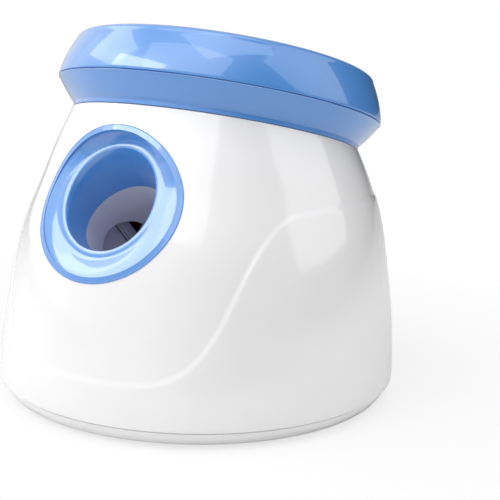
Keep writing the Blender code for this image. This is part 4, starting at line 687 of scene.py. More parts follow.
class EffectKit:
    """Shader node groups that several finishes share, each with named sockets."""

    def __init__(self) -> None:
        """Builds each group once."""
        self.grain = self._group("skin_grain", ("Scale",), ("Height", "Mottle"), self._grain)
        self.handling = self._group("handling", ("Scale", "Strength"), ("Roughness",), self._handling)
        self.dust = self._group("settled_dust", ("Scale", "Amount"), ("Mask",), self._dust)
        self.lathe = self._group("lathe_rings", ("Scale",), ("Height",), self._lathe)

    @staticmethod
    def _group(name: str, takes: Sequence[str], gives: Sequence[str],
               fill: Callable[[Desk, bpy.types.Node, bpy.types.Node], None]) -> bpy.types.NodeTree:
        """Makes a group.

        Args:
            name: The group's name.
            takes: Its input sockets.
            gives: Its output sockets.
            fill: What adds its nodes, between its input and output nodes.

        Returns:
            The group.
        """
        tree = bpy.data.node_groups.new(name, "ShaderNodeTree")
        for socket in takes:
            tree.interface.new_socket(name=socket, in_out="INPUT", socket_type="NodeSocketFloat")
        for socket in gives:
            tree.interface.new_socket(name=socket, in_out="OUTPUT", socket_type="NodeSocketFloat")
        desk = Desk(tree)
        fill(desk, desk.add("NodeGroupInput"), desk.add("NodeGroupOutput"))
        return tree

    @staticmethod
    def _noise(desk: Desk, scale: object, detail: float, vector: Optional[bpy.types.NodeSocket] = None
               ) -> bpy.types.NodeSocket:
        """Noise over the piece's own coordinates.

        Args:
            desk: Where to add it.
            scale: A number, or the socket that holds it.
            detail: How fine its layers go.
            vector: Coordinates to use in place of the piece's own.

        Returns:
            The noise's value.
        """
        noise = desk.add("TexNoise", Detail=detail)
        if vector is None:
            vector = desk.add("TexCoord").outputs["Object"]
        desk.link(vector, noise.inputs["Vector"])
        if isinstance(scale, bpy.types.NodeSocket):
            desk.link(scale, noise.inputs["Scale"])
        else:
            noise.inputs["Scale"].default_value = scale
        return noise.outputs["Fac"]

    @classmethod
    def _grain(cls, desk: Desk, takes: bpy.types.Node, gives: bpy.types.Node) -> None:
        """Fine grain of a moulded skin, and the broad flow marks under it."""
        scale = takes.outputs["Scale"]
        desk.link(cls._noise(desk, scale, 2.0), gives.inputs["Height"])
        broad = desk.sum("MULTIPLY", scale, 0.03)
        desk.link(desk.span(cls._noise(desk, broad, 3.0), 0.3, 0.7), gives.inputs["Mottle"])

    @classmethod
    def _handling(cls, desk: Desk, takes: bpy.types.Node, gives: bpy.types.Node) -> None:
        """Faint smudges and hairlines that dull a polished skin a little."""
        scale = takes.outputs["Scale"]
        smudge = desk.span(cls._noise(desk, scale, 3.0), 0.52, 0.74)
        stretch = desk.add("Mapping", Scale=(1.0, 1.0, 0.05), Rotation=(0.5, 0.3, 0.2))
        desk.link(desk.add("TexCoord").outputs["Object"], stretch.inputs["Vector"])
        fine = desk.sum("MULTIPLY", scale, 40.0)
        hairline = desk.span(cls._noise(desk, fine, 1.0, stretch.outputs["Vector"]), 0.66, 0.72)
        both = desk.sum("ADD", smudge, desk.sum("MULTIPLY", hairline, 0.5))
        desk.link(desk.sum("MULTIPLY", both, takes.outputs["Strength"]), gives.inputs["Roughness"])

    @classmethod
    def _dust(cls, desk: Desk, takes: bpy.types.Node, gives: bpy.types.Node) -> None:
        """Light dust on what faces up."""
        split = desk.add("SeparateXYZ")
        desk.link(desk.add("NewGeometry").outputs["Normal"], split.inputs[0])
        facing = desk.span(split.outputs["Z"], 0.45, 1.0)
        patches = desk.span(cls._noise(desk, takes.outputs["Scale"], 6.0), 0.4, 0.7)
        mask = desk.sum("MULTIPLY", facing, patches)
        desk.link(desk.sum("MULTIPLY", mask, takes.outputs["Amount"]), gives.inputs["Mask"])

    @classmethod
    def _lathe(cls, desk: Desk, takes: bpy.types.Node, gives: bpy.types.Node) -> None:
        """Fine lines that machining leaves across a sideways axis."""
        stretch = desk.add("Mapping", Scale=(1.0, 0.03, 0.03))
        desk.link(desk.add("TexCoord").outputs["Object"], stretch.inputs["Vector"])
        lines = cls._noise(desk, takes.outputs["Scale"], 2.0, stretch.outputs["Vector"])
        desk.link(lines, gives.inputs["Height"])


@dataclass(frozen=True)
class Finish:
    """A finish with its colour, gloss, grain and signs of use."""

    slot: Slot
    colour: Colour
    roughness: float
    grain_scale: float = 420.0
    relief: float = 0.000006
    spread: float = 0.04
    mottle: float = 0.03
    specular: float = 0.5
    coat: float = 0.0
    coat_index: float = 1.5
    coat_roughness: float = 0.05
    metallic: float = 0.0
    handling: float = 0.03
    dust: float = 0.0

    def build(self, kit: EffectKit) -> bpy.types.Material:
        """Makes the material.

        Args:
            kit: The shared effects.

        Returns:
            The finished material.
        """
        material = bpy.data.materials.new(self.slot.value)
        material.use_nodes = True
        desk = Desk(material.node_tree)
        shader = material.node_tree.nodes["Principled BSDF"]
        shader.inputs["Metallic"].default_value = self.metallic
        shader.inputs["Specular IOR Level"].default_value = self.specular
        shader.inputs["Coat Weight"].default_value = self.coat
        shader.inputs["Coat IOR"].default_value = self.coat_index
        shader.inputs["Coat Roughness"].default_value = self.coat_roughness
        grain = desk.add("Group", node_tree=kit.grain, Scale=self.grain_scale)
        handling = desk.add("Group", node_tree=kit.handling, Scale=22.0, Strength=self.handling)
        dust = desk.add("Group", node_tree=kit.dust, Scale=60.0, Amount=self.dust)
        desk.link(self.tint(desk, grain.outputs["Mottle"], dust.outputs["Mask"]), shader.inputs["Base Color"])
        rough = desk.span(grain.outputs["Height"], 0.3, 0.7, self.roughness - self.spread,
                          self.roughness + self.spread)
        rough = desk.sum("ADD", rough, handling.outputs["Roughness"])
        rough = desk.sum("ADD", rough, desk.sum("MULTIPLY", dust.outputs["Mask"], 0.5))
        desk.link(rough, shader.inputs["Roughness"])
        bump = desk.add("Bump", Distance=self.relief)
        desk.link(self.height(desk, kit, grain.outputs["Height"]), bump.inputs["Height"])
        desk.link(bump.outputs["Normal"], shader.inputs["Normal"])
        self.extra(desk, shader)
        return material

    def tint(self, desk: Desk, mottle: bpy.types.NodeSocket, dust: bpy.types.NodeSocket
             ) -> bpy.types.NodeSocket:
        """The colour with its flow marks and dust."""
        darker = tuple(channel * (1 - self.mottle) for channel in self.colour)
        base = desk.blend(mottle, self.colour, darker)
        return desk.blend(dust, base, (0.62, 0.60, 0.57))

    def height(self, desk: Desk, kit: EffectKit, grain: bpy.types.NodeSocket) -> bpy.types.NodeSocket:
        """The relief of the skin."""
        return grain

    def extra(self, desk: Desk, shader: bpy.types.Node) -> None:
        """Sets what only some finishes have."""


@dataclass(frozen=True)
class MachinedMetal(Finish):
    """Turned or drawn metal with fine lines across its axis."""

    def height(self, desk: Desk, kit: EffectKit, grain: bpy.types.NodeSocket) -> bpy.types.NodeSocket:
        """Machining lines under the grain."""
        lathe = desk.add("Group", node_tree=kit.lathe, Scale=5200.0)
        return desk.sum("ADD", grain, lathe.outputs["Height"])


@dataclass(frozen=True)
class Window(Finish):
    """A tinted window or lens that light passes through."""

    clear_share: float = 0.6

    def extra(self, desk: Desk, shader: bpy.types.Node) -> None:
        """Lets light through."""
        shader.inputs["Transmission Weight"].default_value = self.clear_share
        shader.inputs["IOR"].default_value = 1.49


@dataclass(frozen=True)
class Lacquer(Finish):
    """A circuit board's lacquer, with paler tracks under it and tinned pads."""

    track_scale: float = 260.0
    pad_scale: float = 190.0
    track_colour: Colour = (0.10, 0.36, 0.18)
    pad_colour: Colour = (0.70, 0.70, 0.68)

    def tint(self, desk: Desk, mottle: bpy.types.NodeSocket, dust: bpy.types.NodeSocket
             ) -> bpy.types.NodeSocket:
        """Tracks and pads over the lacquer's green."""
        coordinates = desk.add("TexCoord").outputs["Object"]
        tracks = desk.add("TexWave", Scale=self.track_scale, Distortion=1.5, Detail=0.0)
        desk.link(coordinates, tracks.inputs["Vector"])
        base = desk.blend(desk.span(tracks.outputs["Fac"], 0.62, 0.68), self.colour, self.track_colour)
        pads = desk.add("TexVoronoi", Scale=self.pad_scale, Randomness=0.6)
        desk.link(coordinates, pads.inputs["Vector"])
        share = desk.span(pads.outputs["Distance"], 0.20, 0.24, 1.0, 0.0)
        return desk.blend(dust, desk.blend(share, base, self.pad_colour), (0.5, 0.5, 0.48))


@dataclass(frozen=True)
class Jacket(Finish):
    """A cell's shrink jacket, with a plain pale band round one end."""

    band_colour: Colour = (0.58, 0.44, 0.16)
    band_spans: tuple[tuple[float, float], ...] = ((-0.0515, -0.0385), (0.0, 0.0125))

    def tint(self, desk: Desk, mottle: bpy.types.NodeSocket, dust: bpy.types.NodeSocket
             ) -> bpy.types.NodeSocket:
        """The jacket's dark colour with its bands."""
        split = desk.add("SeparateXYZ")
        desk.link(desk.add("TexCoord").outputs["Object"], split.inputs[0])
        base = desk.blend(mottle, self.colour, tuple(c * (1 - self.mottle) for c in self.colour))
        for low, high in self.band_spans:
            above = desk.sum("GREATER_THAN", split.outputs["X"], low)
            below = desk.sum("LESS_THAN", split.outputs["X"], high)
            base = desk.blend(desk.sum("MULTIPLY", above, below), base, self.band_colour)
        return base


FINISHES = (
    Finish(Slot.WHITE, (0.86, 0.855, 0.865), 0.20, grain_scale=900.0, relief=0.0000012, coat=1.0,
           coat_roughness=0.03, spread=0.03, mottle=0.02, dust=0.02),
    Finish(Slot.BLUE, (0.070, 0.265, 0.680), 0.30, grain_scale=900.0, relief=0.0000012, specular=0.7,
           coat=0.9, coat_index=1.6, coat_roughness=0.03, spread=0.02, mottle=0.03, dust=0.01),
    Finish(Slot.GREY, (0.56, 0.56, 0.66), 0.42, grain_scale=2400.0, relief=0.00002, dust=0.05),
    Finish(Slot.GEAR, (0.76, 0.74, 0.66), 0.46, grain_scale=1600.0, relief=0.00001, handling=0.05),
    Finish(Slot.DARK, (0.018, 0.019, 0.023), 0.42, grain_scale=3200.0, relief=0.00003, dust=0.04),
    Window(Slot.RED, (0.16, 0.004, 0.006), 0.08, relief=0.000002, handling=0.01, clear_share=0.4),
    Window(Slot.LENS, (0.42, 0.72, 0.50), 0.12, relief=0.000002, handling=0.01),
    Finish(Slot.RUBBER, (0.022, 0.022, 0.024), 0.78, grain_scale=5200.0, relief=0.00006, dust=0.25),
    MachinedMetal(Slot.STEEL, (0.60, 0.61, 0.63), 0.30, metallic=1.0, relief=0.00001, handling=0.06),
    MachinedMetal(Slot.BRASS, (0.72, 0.52, 0.22), 0.32, metallic=1.0, relief=0.00001, handling=0.06),
    Lacquer(Slot.BOARD, (0.014, 0.16, 0.055), 0.30, coat=0.5),
    Jacket(Slot.CELL, (0.030, 0.034, 0.045), 0.32, coat=0.4),
)


class PaintShop:
    """Holds one material for each slot."""

    def __init__(self) -> None:
        """Builds the shared effects and every finish."""
        kit = EffectKit()
        self.materials = {finish.slot: finish.build(kit) for finish in FINISHES}

    def coat(self, thing: bpy.types.Object, slot: Slot) -> None:
        """Gives a piece one material all over and names its slot."""
        thing.data.materials.clear()
        thing.data.materials.append(self.materials[slot])


class Bench:
    """Puts finished pieces into the scene and ties them to the frame."""

    def __init__(self, nodes: dict[str, bpy.types.Object], shop: PaintShop) -> None:
        """Takes the frame's nodes and the materials.

        Args:
            nodes: The frame's nodes by name.
            shop: The paint shop.
        """
        self.nodes = nodes
        self.shop = shop

    def fit(self, name: str, mesh: bpy.types.Mesh, slot: Slot, body: Body, *stands_for: str,
            place: Matrix = Matrix()) -> bpy.types.Object:
        """Adds a piece.

        Args:
            name: The piece's name.
            mesh: Its mesh.
            slot: Its material slot.
            body: The body it rides on.
            stands_for: The frame's nodes that it replaces.
            place: Where the mesh goes.

        Returns:
            The piece.
        """
        own = mesh.copy()
        own.transform(place)
        own.name = name
        thing = bpy.data.objects.new(name, own)
        bpy.context.scene.collection.objects.link(thing)
        self.shop.coat(thing, slot)
        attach(thing, body.value)
        if stands_for:
            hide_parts(*stands_for)
        LOG.info("%s rides on %s, %d faces", name, body.value, len(own.polygons))
        return thing

    def dress(self, node: str, slot: Slot, ease: float) -> None:
        """Keeps a frame node, eases its edges and gives it a finish.

        Args:
            node: The node's name.
            slot: Its material slot.
            ease: How far its edges are rounded.
        """
        thing = self.nodes[node]
        self.shop.coat(thing, slot)
        thing.data.shade_smooth()
        weld = thing.modifiers.new("weld", "WELD")
        weld.merge_threshold = 0.00001
        plane = thing.modifiers.new("planes", "DECIMATE")
        plane.decimate_type = "DISSOLVE"
        plane.angle_limit = math.radians(1.0)
        round_off = thing.modifiers.new("eased_edges", "BEVEL")
        round_off.width = ease
        round_off.segments = 2
        round_off.limit_method = "ANGLE"
        round_off.angle_limit = math.radians(38)
        round_off.harden_normals = True
        LOG.info("%s keeps its solid", node)


@dataclass
class Housing:
    """The white dome, with the blocks inside its wall that the screws from the tray under its seam bite."""

    form: DomeForm
    line: LaunchLine
    segments: int = 288
    lower_rows: int = 26
    band_rows: int = 8
    upper_rows: int = 34
    inner_rows: int = 12
    edge_ease: float = 0.0006
    bezel_half_width: float = 0.052
    bezel_half_height: float = 0.049
    bezel_lap: float = 0.0035
    screw_angles: tuple[float, ...] = tuple(math.radians(d) for d in (20, 160, 200, 340))
    screw_circle: float = 0.118
    boss_width: float = 0.009
    boss_bottom: float = 0.0152
    boss_top: float = 0.036
    boss_back: float = 0.006
    screw_reach: float = 0.012
    screw_hole: float = 0.0018

    def build(self, bench: Bench, bezel_frame: Matrix, panel_outline: Profile, panel_frame: Matrix,
              socket_radius: float, socket_frame: Matrix) -> None:
        """Builds the dome.

        Args:
            bench: Where the piece goes.
            bezel_frame: The frame of the muzzle surround.
            panel_outline: The back panel's outline.
            panel_frame: The back panel's frame.
            socket_radius: The power socket's radius.
            socket_frame: The power socket's frame.
        """
        window = [self.form.surface_ring(bezel_frame, self.bezel_half_width - self.bezel_lap,
                                         self.bezel_half_height - self.bezel_lap, offset, 96)
                  for offset in (-OVERRUN - self.line.mouth_recess, OVERRUN)]
        socket = Stock.rod(socket_radius + GAP, -OVERRUN, OVERRUN)
        steps = [
            ("UNION", self._screw_blocks(), Matrix()),
            ("DIFFERENCE", self._screw_bores(), Matrix()),
            ("DIFFERENCE", Stock.loft(window), Matrix()),
            ("DIFFERENCE", Stock.prism(panel_outline, -OVERRUN, OVERRUN), panel_frame),
            ("DIFFERENCE", socket, socket_frame),
        ]
        shell = Stock.worked(Stock.loft(self._rows(), closed=True), steps)
        bench.fit("dome_shell", shell, Slot.WHITE, Body.HOUSING, "body_shell")

    def _rows(self) -> list[Ring]:
        """The dome's rings: up the outer wall, over the top ledge and down the inner wall."""
        form = self.form
        bottom = (form.seam_height + GAP) / form.height
        ease_share = self.edge_ease / form.height
        turns = [math.tau * k / self.segments for k in range(self.segments)]
        rows = []
        for k in range(4):
            turn = math.pi / 2 * k / 4
            share = bottom + ease_share * (1 - math.cos(turn))
            inset = self.edge_ease * (math.sin(turn) - 1)
            rows.append([form.point(share, t, inset + form.step_proud * (1 - self._faded(t))) for t in turns])
        count = self.lower_rows + self.band_rows + self.upper_rows
        for row in range(count + 1):
            rows.append([self._wall_point(t, row, bottom + ease_share, 1 - ease_share) for t in turns])
        for k in range(1, 5):
            turn = math.pi / 2 * k / 4
            share = 1 - ease_share * (1 - math.sin(turn))
            rows.append([form.point(share, t, self.edge_ease * (math.cos(turn) - 1)) for t in turns])
        drop = form.wall / form.height
        rows.append([form.point(1.0, t, -form.top_ledge) for t in turns])
        rows.append([form.point(1.0 - drop, t, -form.top_ledge) for t in turns])
        for k in range(self.inner_rows, -1, -1):
            share = bottom + (1 - drop - bottom) * k / self.inner_rows
            rows.append([form.point(share, t, -form.wall) for t in turns])
        return rows

    def _faded(self, turn: float) -> float:
        """How far the soft step has died out at an angle from +X."""
        return self.form.fade(self._from_front(turn))

    @staticmethod
    def _from_front(turn: float) -> float:
        """The angle from the front, for an angle from +X."""
        return abs((turn + math.pi / 2 + math.pi) % math.tau - math.pi)

    def _wall_point(self, turn: float, row: int, low: float, high: float) -> Vector:
        """A point of the outer wall.

        Args:
            turn: The angle from +X.
            row: The row, counted from the bottom.
            low: The height share where the rows start.
            high: The height share where they end.

        Returns:
            The point, which stands proud under the soft step.
        """
        from_front = self._from_front(turn)
        middle, half = self.form.step_share(from_front), self.form.band_share(from_front)
        start, end = middle - half, middle + half
        if row <= self.lower_rows:
            share = low + (start - low) * row / self.lower_rows
        elif row <= self.lower_rows + self.band_rows:
            share = start + (end - start) * (row - self.lower_rows) / self.band_rows
        else:
            share = end + (high - end) * (row - self.lower_rows - self.band_rows) / self.upper_rows
        proud = self.form.step_proud * (1 - self._faded(turn)) * (1 - smooth((share - start) / (end - start)))
        return self.form.point(share, turn, proud)

    def _screw_blocks(self) -> bpy.types.Mesh:
        """The blocks inside the wall that the base screws bite."""
        middle = (self.boss_top + self.boss_bottom) / 2 / self.form.height
        outer = self.form.section(middle)[1] - self.form.wall / 2
        inner, half = self.screw_circle - self.boss_back, self.boss_width / 2
        block = Stock.block((inner, -half, self.boss_bottom), (outer, half, self.boss_top))
        return Stock.gathered((block, Matrix.Rotation(t, 4, "Z")) for t in self.screw_angles)

    def _screw_bores(self) -> bpy.types.Mesh:
        """The bores in the screw blocks."""
        bore = Stock.rod(self.screw_hole, 0, self.boss_bottom + self.screw_reach, 16)
        spin = [Matrix.Rotation(t, 4, "Z") @ at(self.screw_circle) for t in self.screw_angles]
        return Stock.gathered((bore, place) for place in spin)


@dataclass
class BaseTray:
    """The white tray, its feet, its battery box and what closes it."""

    form: DomeForm
    segments: int = 288
    floor: float = 0.0025
    heel: float = 0.006
    heel_ease: float = 0.0014
    lip_height: float = 0.0035
    lip_wall: float = 0.0018
    wall_top: float = 0.008
    post_radius: float = 0.0045
    head_radius: float = 0.003
    head_height: float = 0.0018
    screw_hole: float = 0.0018
    peg_radius: float = 0.003
    cell_radius: float = 0.0131
    cell_length: float = 0.050
    cell_gap: float = 0.0004
    cell_nub: float = 0.001
    contact: float = 0.0006
    battery_front: float = 0.042
    box_wall: float = 0.002
    box_ledge: float = 0.003
    door_thickness: float = 0.002
    tread_rings: int = 3

    def build(self, bench: Bench, housing: Housing) -> None:
        """Builds the tray, the feet and the door.

        Args:
            bench: Where the pieces go.
            housing: The housing above, whose screws come up from here.
        """
        form = self.form

        def wall(height: float) -> float:
            """The dome's radius at a height."""
            return form.section(height / form.height)[1]

        seam, foot = form.seam_height - GAP, form.foot_height
        lip_outer = wall(seam) - form.wall - 2 * GAP
        lip_inner = lip_outer - self.lip_wall
        lip_top, top = seam + self.lip_height, foot + self.floor
        climb = [(wall(self.heel + (seam - self.heel) * k / 4), self.heel + (seam - self.heel) * k / 4)
                 for k in range(1, 4)]
        corners = [(0, foot), (wall(foot), foot, self.heel_ease), (wall(self.heel), self.heel, 0.0)]
        corners += [(radius, height, 0.0) for radius, height in climb]
        corners += [(wall(seam), seam, housing.edge_ease), (lip_outer, seam, 0.0),
                    (lip_outer, lip_top, GAP), (lip_inner, lip_top, GAP), (lip_inner, self.wall_top, 0.0),
                    (wall(self.heel) - 2 * form.wall, top, 0.0), (0, top)]
        tray = Stock.turned(Stock.eased(corners), self.segments)
        tray = Stock.worked(tray, self._steps(bench, housing, top))
        bench.fit("base_tray", tray, Slot.WHITE, Body.HOUSING, "base_cover")
        self._feet(bench)
        self._door(bench)

    def _steps(self, bench: Bench, housing: Housing, top: float) -> list[Step]:
        """What is joined to the tray and cut from it.

        Args:
            bench: Not used.
            housing: The housing above.
            top: The height of the tray's floor.

        Returns:
            The Boolean steps in order.
        """
        foot = self.form.foot_height
        half = self.cell_length + self.cell_nub + self.cell_gap + self.contact + 2 * GAP
        front = self.battery_front
        back = front + 2 * (2 * self.cell_radius + self.cell_gap) + self.cell_gap
        ledge_bottom = foot + self.door_thickness + 2 * GAP
        box_top = ledge_bottom + GAP + 2 * self.cell_radius + self.cell_gap
        wall, ledge = self.box_wall, self.box_ledge
        post = Stock.rod(self.post_radius, top - SINK, housing.boss_bottom - GAP, 24)
        spins = [Matrix.Rotation(t, 4, "Z") @ at(housing.screw_circle) for t in housing.screw_angles]
        seat = foot + self.head_height - GAP
        wide = self.head_radius + GAP
        hole = Stock.turned(((0, 0), (wide, 0), (wide, seat), (self.screw_hole, seat),
                             (self.screw_hole, housing.boss_top), (0, housing.boss_top)), 24)
        holes = [(hole, place) for place in spins]
        for number in range(1, 5):
            low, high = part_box(f"chassis_screw_{number}")
            holes.append((hole, at((low.x + high.x) / 2, (low.y + high.y) / 2)))
        peg = Stock.rod(self.peg_radius + GAP, 0, housing.boss_top, 24)
        for number in range(1, 5):
            low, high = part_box(f"rubber_foot_{number}")
            holes.append((peg, at((low.x + high.x) / 2, (low.y + high.y) / 2)))
        none = Matrix()
        return [
            ("UNION", Stock.block((-half - wall, front - wall, foot + SINK),
                                  (half + wall, back + wall, box_top + wall)), none),
            ("UNION", Stock.block((-half - 2 * ledge, front - 2 * ledge, foot + SINK),
                                  (half + 2 * ledge, back + 2 * ledge, ledge_bottom + wall)), none),
            ("UNION", Stock.gathered((post, place) for place in spins), none),
            ("DIFFERENCE", Stock.block((-half, front, 0), (half, back, box_top)), none),
            ("DIFFERENCE", Stock.block((-half - ledge, front - ledge, 0),
                                       (half + ledge, back + ledge, ledge_bottom)), none),
            ("DIFFERENCE", Stock.gathered(holes), none),
        ]

    def _feet(self, bench: Bench) -> None:
        """The soft feet, with shallow rings in their tread.

        Args:
            bench: Where they go.
        """
        for number in range(1, 5):
            node = f"rubber_foot_{number}"
            low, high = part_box(node)
            centre = (low + high) / 2
            radius = (high.x - low.x) / 2
            top = self.form.foot_height - GAP
            corners: list[tuple[float, ...]] = [(0, 0)]
            groove = radius / (4 * self.tread_rings)
            for ring in range(self.tread_rings):
                out = radius * (ring + 1) / (self.tread_rings + 1)
                corners += [(out - groove, 0), (out - groove / 2, groove / 2), (out + groove / 2, groove / 2),
                            (out + groove, 0)]
            corners += [(radius, 0, groove), (radius, top, GAP), (self.peg_radius, top),
                        (self.peg_radius, high.z, GAP), (0, high.z)]
            foot = Stock.turned(Stock.eased(corners), 64)
            bench.fit(f"foot_pad_{number}", foot, Slot.RUBBER, Body.HOUSING, node,
                      place=at(centre.x, centre.y))

    def _door(self, bench: Bench) -> None:
        """The battery door, with its rounded hinge edge, finger pull and grip lines.

        Args:
            bench: Where they go.
        """
        low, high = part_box("battery_door")
        radius = (high.z - low.z) / 2
        hinge = Vector((0, low.y + radius, low.z + radius))
        back = high.y - hinge.y
        round_edge = [(radius * math.cos(t), radius * math.sin(t))
                      for t in (math.pi / 2 + math.pi * k / 12 for k in range(13))]
        ease = radius / 4
        outline = [(back, ease - radius), (back, radius - ease), (back - ease, radius)] + round_edge
        outline.append((back - ease, -radius))
        door = Stock.prism(outline, low.x, high.x)
        pull = Stock.turned(((0, -radius - SINK), (0.0062, -radius - SINK), (0.0056, 0.0008 - radius),
                             (0, 0.0008 - radius)), 48)
        steps: list[Step] = [("DIFFERENCE", pull, at(hinge.x, hinge.y + back - 0.012, hinge.z))]
        for k in range(5):
            y = hinge.y + back - 0.022 - 0.0024 * k
            groove = Stock.block((-0.012, y, low.z - SINK), (0.012, y + 0.0011, low.z + radius / 4))
            steps.append(("DIFFERENCE", groove, Matrix()))
        placed = door.copy()
        placed.transform(Matrix.Translation(hinge) @ SIDEWAYS)
        bench.fit("door_panel", Stock.worked(placed, steps), Slot.WHITE, Body.DOOR, "battery_door")


@dataclass
class BallBowl:
    """The blue collar, the rim with the ball bowl in it, and the chute under its throat."""

    form: DomeForm
    line: LaunchLine
    segments: int = 224
    neck: float = 0.003
    seam_height: float = 0.0188
    flare: float = 0.0122
    shoulder_height: float = 0.0452
    shoulder_out: float = 0.0035
    top_height: float = 0.0494
    top_in: float = 0.0083
    lip: float = 0.0045
    lip_drop: float = 0.0045
    bulge_power: float = 1.6
    collar_power: float = 0.85
    bowl_power: int = 12
    throat_collar: float = 0.018
    throat_ease: float = 0.0025
    seam_ease: float = 0.0005
    wall_rows: int = 14
    bowl_rows: int = 30
    chute_low: float = 0.040
    chute_drop: float = 0.008
    chute_wall: float = 0.0025
    bell_length: float = 0.0105
    bell_wall: float = 0.0026

    def build(self, bench: Bench) -> None:
        """Builds the three pieces.

        Args:
            bench: Where they go.
        """
        collar = Stock.loft([self._ring(r, h) for r, h in self._collar()], closed=True)
        bench.fit("collar_ring", collar, Slot.BLUE, Body.HOUSING, "rim_collar")
        bench.fit("ball_bowl", Stock.loft(self._bowl(), closed=True), Slot.BLUE, Body.HOUSING, "hopper")
        self._chute(bench)

    def _centre(self, height: float) -> Vector:
        """A point on the rim's tilted axis."""
        centre, _, tilt = self.form.section(1.0)
        return centre + height * Vector((0, math.sin(tilt), math.cos(tilt)))

    def _tipped(self, centre: Vector, radius: float, tilt: float) -> Ring:
        """A round ring about a centre, tipped back by a tilt."""
        turn_back = Matrix.Rotation(-tilt, 3, "X")
        return [centre + turn_back @ point for point in Stock.ring(radius, 0.0, self.segments)]

    def _ring(self, radius: float, height: float) -> Ring:
        """A ring of the rim at a height along its axis."""
        return self._tipped(self._centre(height), radius, self.form.tilt)

    def _collar(self) -> list[tuple[float, float]]:
        """The collar's closed profile of radius and height."""
        wall, top = self.form.wall, self.form.section(1.0)[1]
        high = self.seam_height - GAP / 2
        ledge = top - self.form.top_ledge
        rows = [k / self.wall_rows for k in range(self.wall_rows + 1)]
        flare = [(top + self.flare * share**self.collar_power, self.neck + (high - self.neck) * share)
                 for share in rows]
        outer = [(top - self.seam_ease, GAP), (top, GAP + self.seam_ease)] + flare[:-1]
        crest_radius, crest_height = flare[-1]
        outer += [(crest_radius, crest_height - self.seam_ease),
                  (crest_radius - self.seam_ease / 3, crest_height - self.seam_ease / 3),
                  (crest_radius - self.seam_ease, crest_height)]
        inner = [(radius - wall, height) for radius, height in reversed(flare[2:])]
        inner += [(top - wall, self.neck + SINK), (ledge, self.neck), (ledge, GAP)]
        return outer + inner

    def _wall(self, share: float) -> tuple[float, float]:
        """Radius and height of the upper rim's outer wall."""
        top = self.form.section(1.0)[1]
        seam, shoulder = top + self.flare, top + self.shoulder_out
        height = self.seam_height + (self.shoulder_height - self.seam_height) * share
        return seam + (shoulder - seam) * share**self.bulge_power, height

    def _bowl_ring(self, share: float, grow: float) -> Ring:
        """A ring of the bowl, which shrinks, slides back and turns towards the chute as it goes down.

        Args:
            share: How far down the bowl it lies.
            grow: How far outside the bowl's inner face.

        Returns:
            The ring's points.
        """
        lip = self.form.section(1.0)[1] - self.top_in - self.lip
        top = self._centre(self.top_height - self.lip_drop)
        throat = self.line.inlet @ Vector((0, 0, self.line.throat_distance))
        opening = math.sqrt(max(1 - share * share, 0.0))
        leaning = math.pi / 2 - self.line.angle - self.form.tilt
        tilt = self.form.tilt + leaning * share**self.bowl_power
        axis = Vector((0, math.sin(tilt), math.cos(tilt)))
        narrow = self.line.chute_radius
        radius = narrow + (lip - narrow) * opening + grow * opening
        return self._tipped(top.lerp(throat, share) - grow * share * axis, radius, tilt)

    def _bowl(self) -> list[Ring]:
        """The rings of the rim and bowl, round the whole wall and back."""
        form, wall = self.form, self.form.wall
        top = form.section(1.0)[1]
        outer = [self._wall(k / self.wall_rows) for k in range(self.wall_rows)]
        seam_radius, seam = outer[0][0], self.seam_height + GAP / 2
        outer[0] = (seam_radius - self.seam_ease, seam)
        outer.insert(1, (seam_radius - self.seam_ease / 3, seam + self.seam_ease / 3))
        outer.insert(2, (seam_radius, seam + self.seam_ease))
        shoulder, crown = top + self.shoulder_out, top - self.top_in
        rise = self.top_height - self.shoulder_height
        rolled = [(crown + (shoulder - crown) * math.cos(t), self.shoulder_height + rise * math.sin(t))
                  for t in (math.pi / 2 * k / 12 for k in range(13))]
        lip = [(crown - self.lip * math.sin(t), self.top_height - self.lip_drop * (1 - math.cos(t)))
               for t in (math.pi / 2 * k / 7 for k in range(1, 8))]
        rings = [self._ring(radius, height) for radius, height in outer + rolled + lip]
        shares = [math.sin(math.pi / 2 * k / self.bowl_rows) for k in range(1, self.bowl_rows - 1)]
        rings += [self._bowl_ring(share, 0.0) for share in shares]
        narrow, tilt = self.line.chute_radius, math.pi / 2 - self.line.angle
        axis = Vector((0, math.sin(tilt), math.cos(tilt)))
        throat = self.line.inlet @ Vector((0, 0, self.line.throat_distance))
        for k in range(6):
            t = math.pi / 2 * k / 5
            radius = narrow + self.throat_ease * (1 - math.sin(t))
            rings.append(self._tipped(throat - self.throat_ease * (1 - math.cos(t)) * axis, radius, tilt))
        end = throat - self.throat_collar * axis
        rings.append(self._tipped(end, narrow, tilt))
        rings.append(self._tipped(end, narrow + wall, tilt))
        rings.append(self._tipped(throat - 2 * wall * axis, narrow + wall, tilt))
        rings += [self._bowl_ring(share, wall) for share in reversed(shares)]
        under = self.shoulder_height - wall
        rings.append(self._ring(crown - self.lip + wall, under - wall))
        rings.append(self._ring(shoulder - 2 * wall, under - wall / 2))
        rings += [self._ring(radius - wall, height) for radius, height in reversed(outer[3:])]
        rings.append(self._ring(seam_radius - wall, seam))
        return rings

    def _chute(self, bench: Bench) -> None:
        """The tube from the bowl's throat down to the barrel, with its bell mouth."""
        low = self.chute_low + GAP
        bell_top = self.line.throat_distance - self.chute_drop
        bell_low = bell_top - self.bell_length
        inner, outer = self.line.chute_radius, self.line.chute_radius + self.chute_wall
        socket = inner + self.form.wall + GAP
        bell = socket + self.bell_wall
        corners = [(inner, low), (outer, low), (outer, bell_low - self.bell_wall), (bell, bell_low),
                   (bell, bell_top), (socket, bell_top), (socket, bell_low), (inner, bell_low)]
        bench.fit("feed_chute", Stock.turned(corners, 96), Slot.GREY, Body.HOUSING, "ball_chute",
                  place=self.line.inlet)


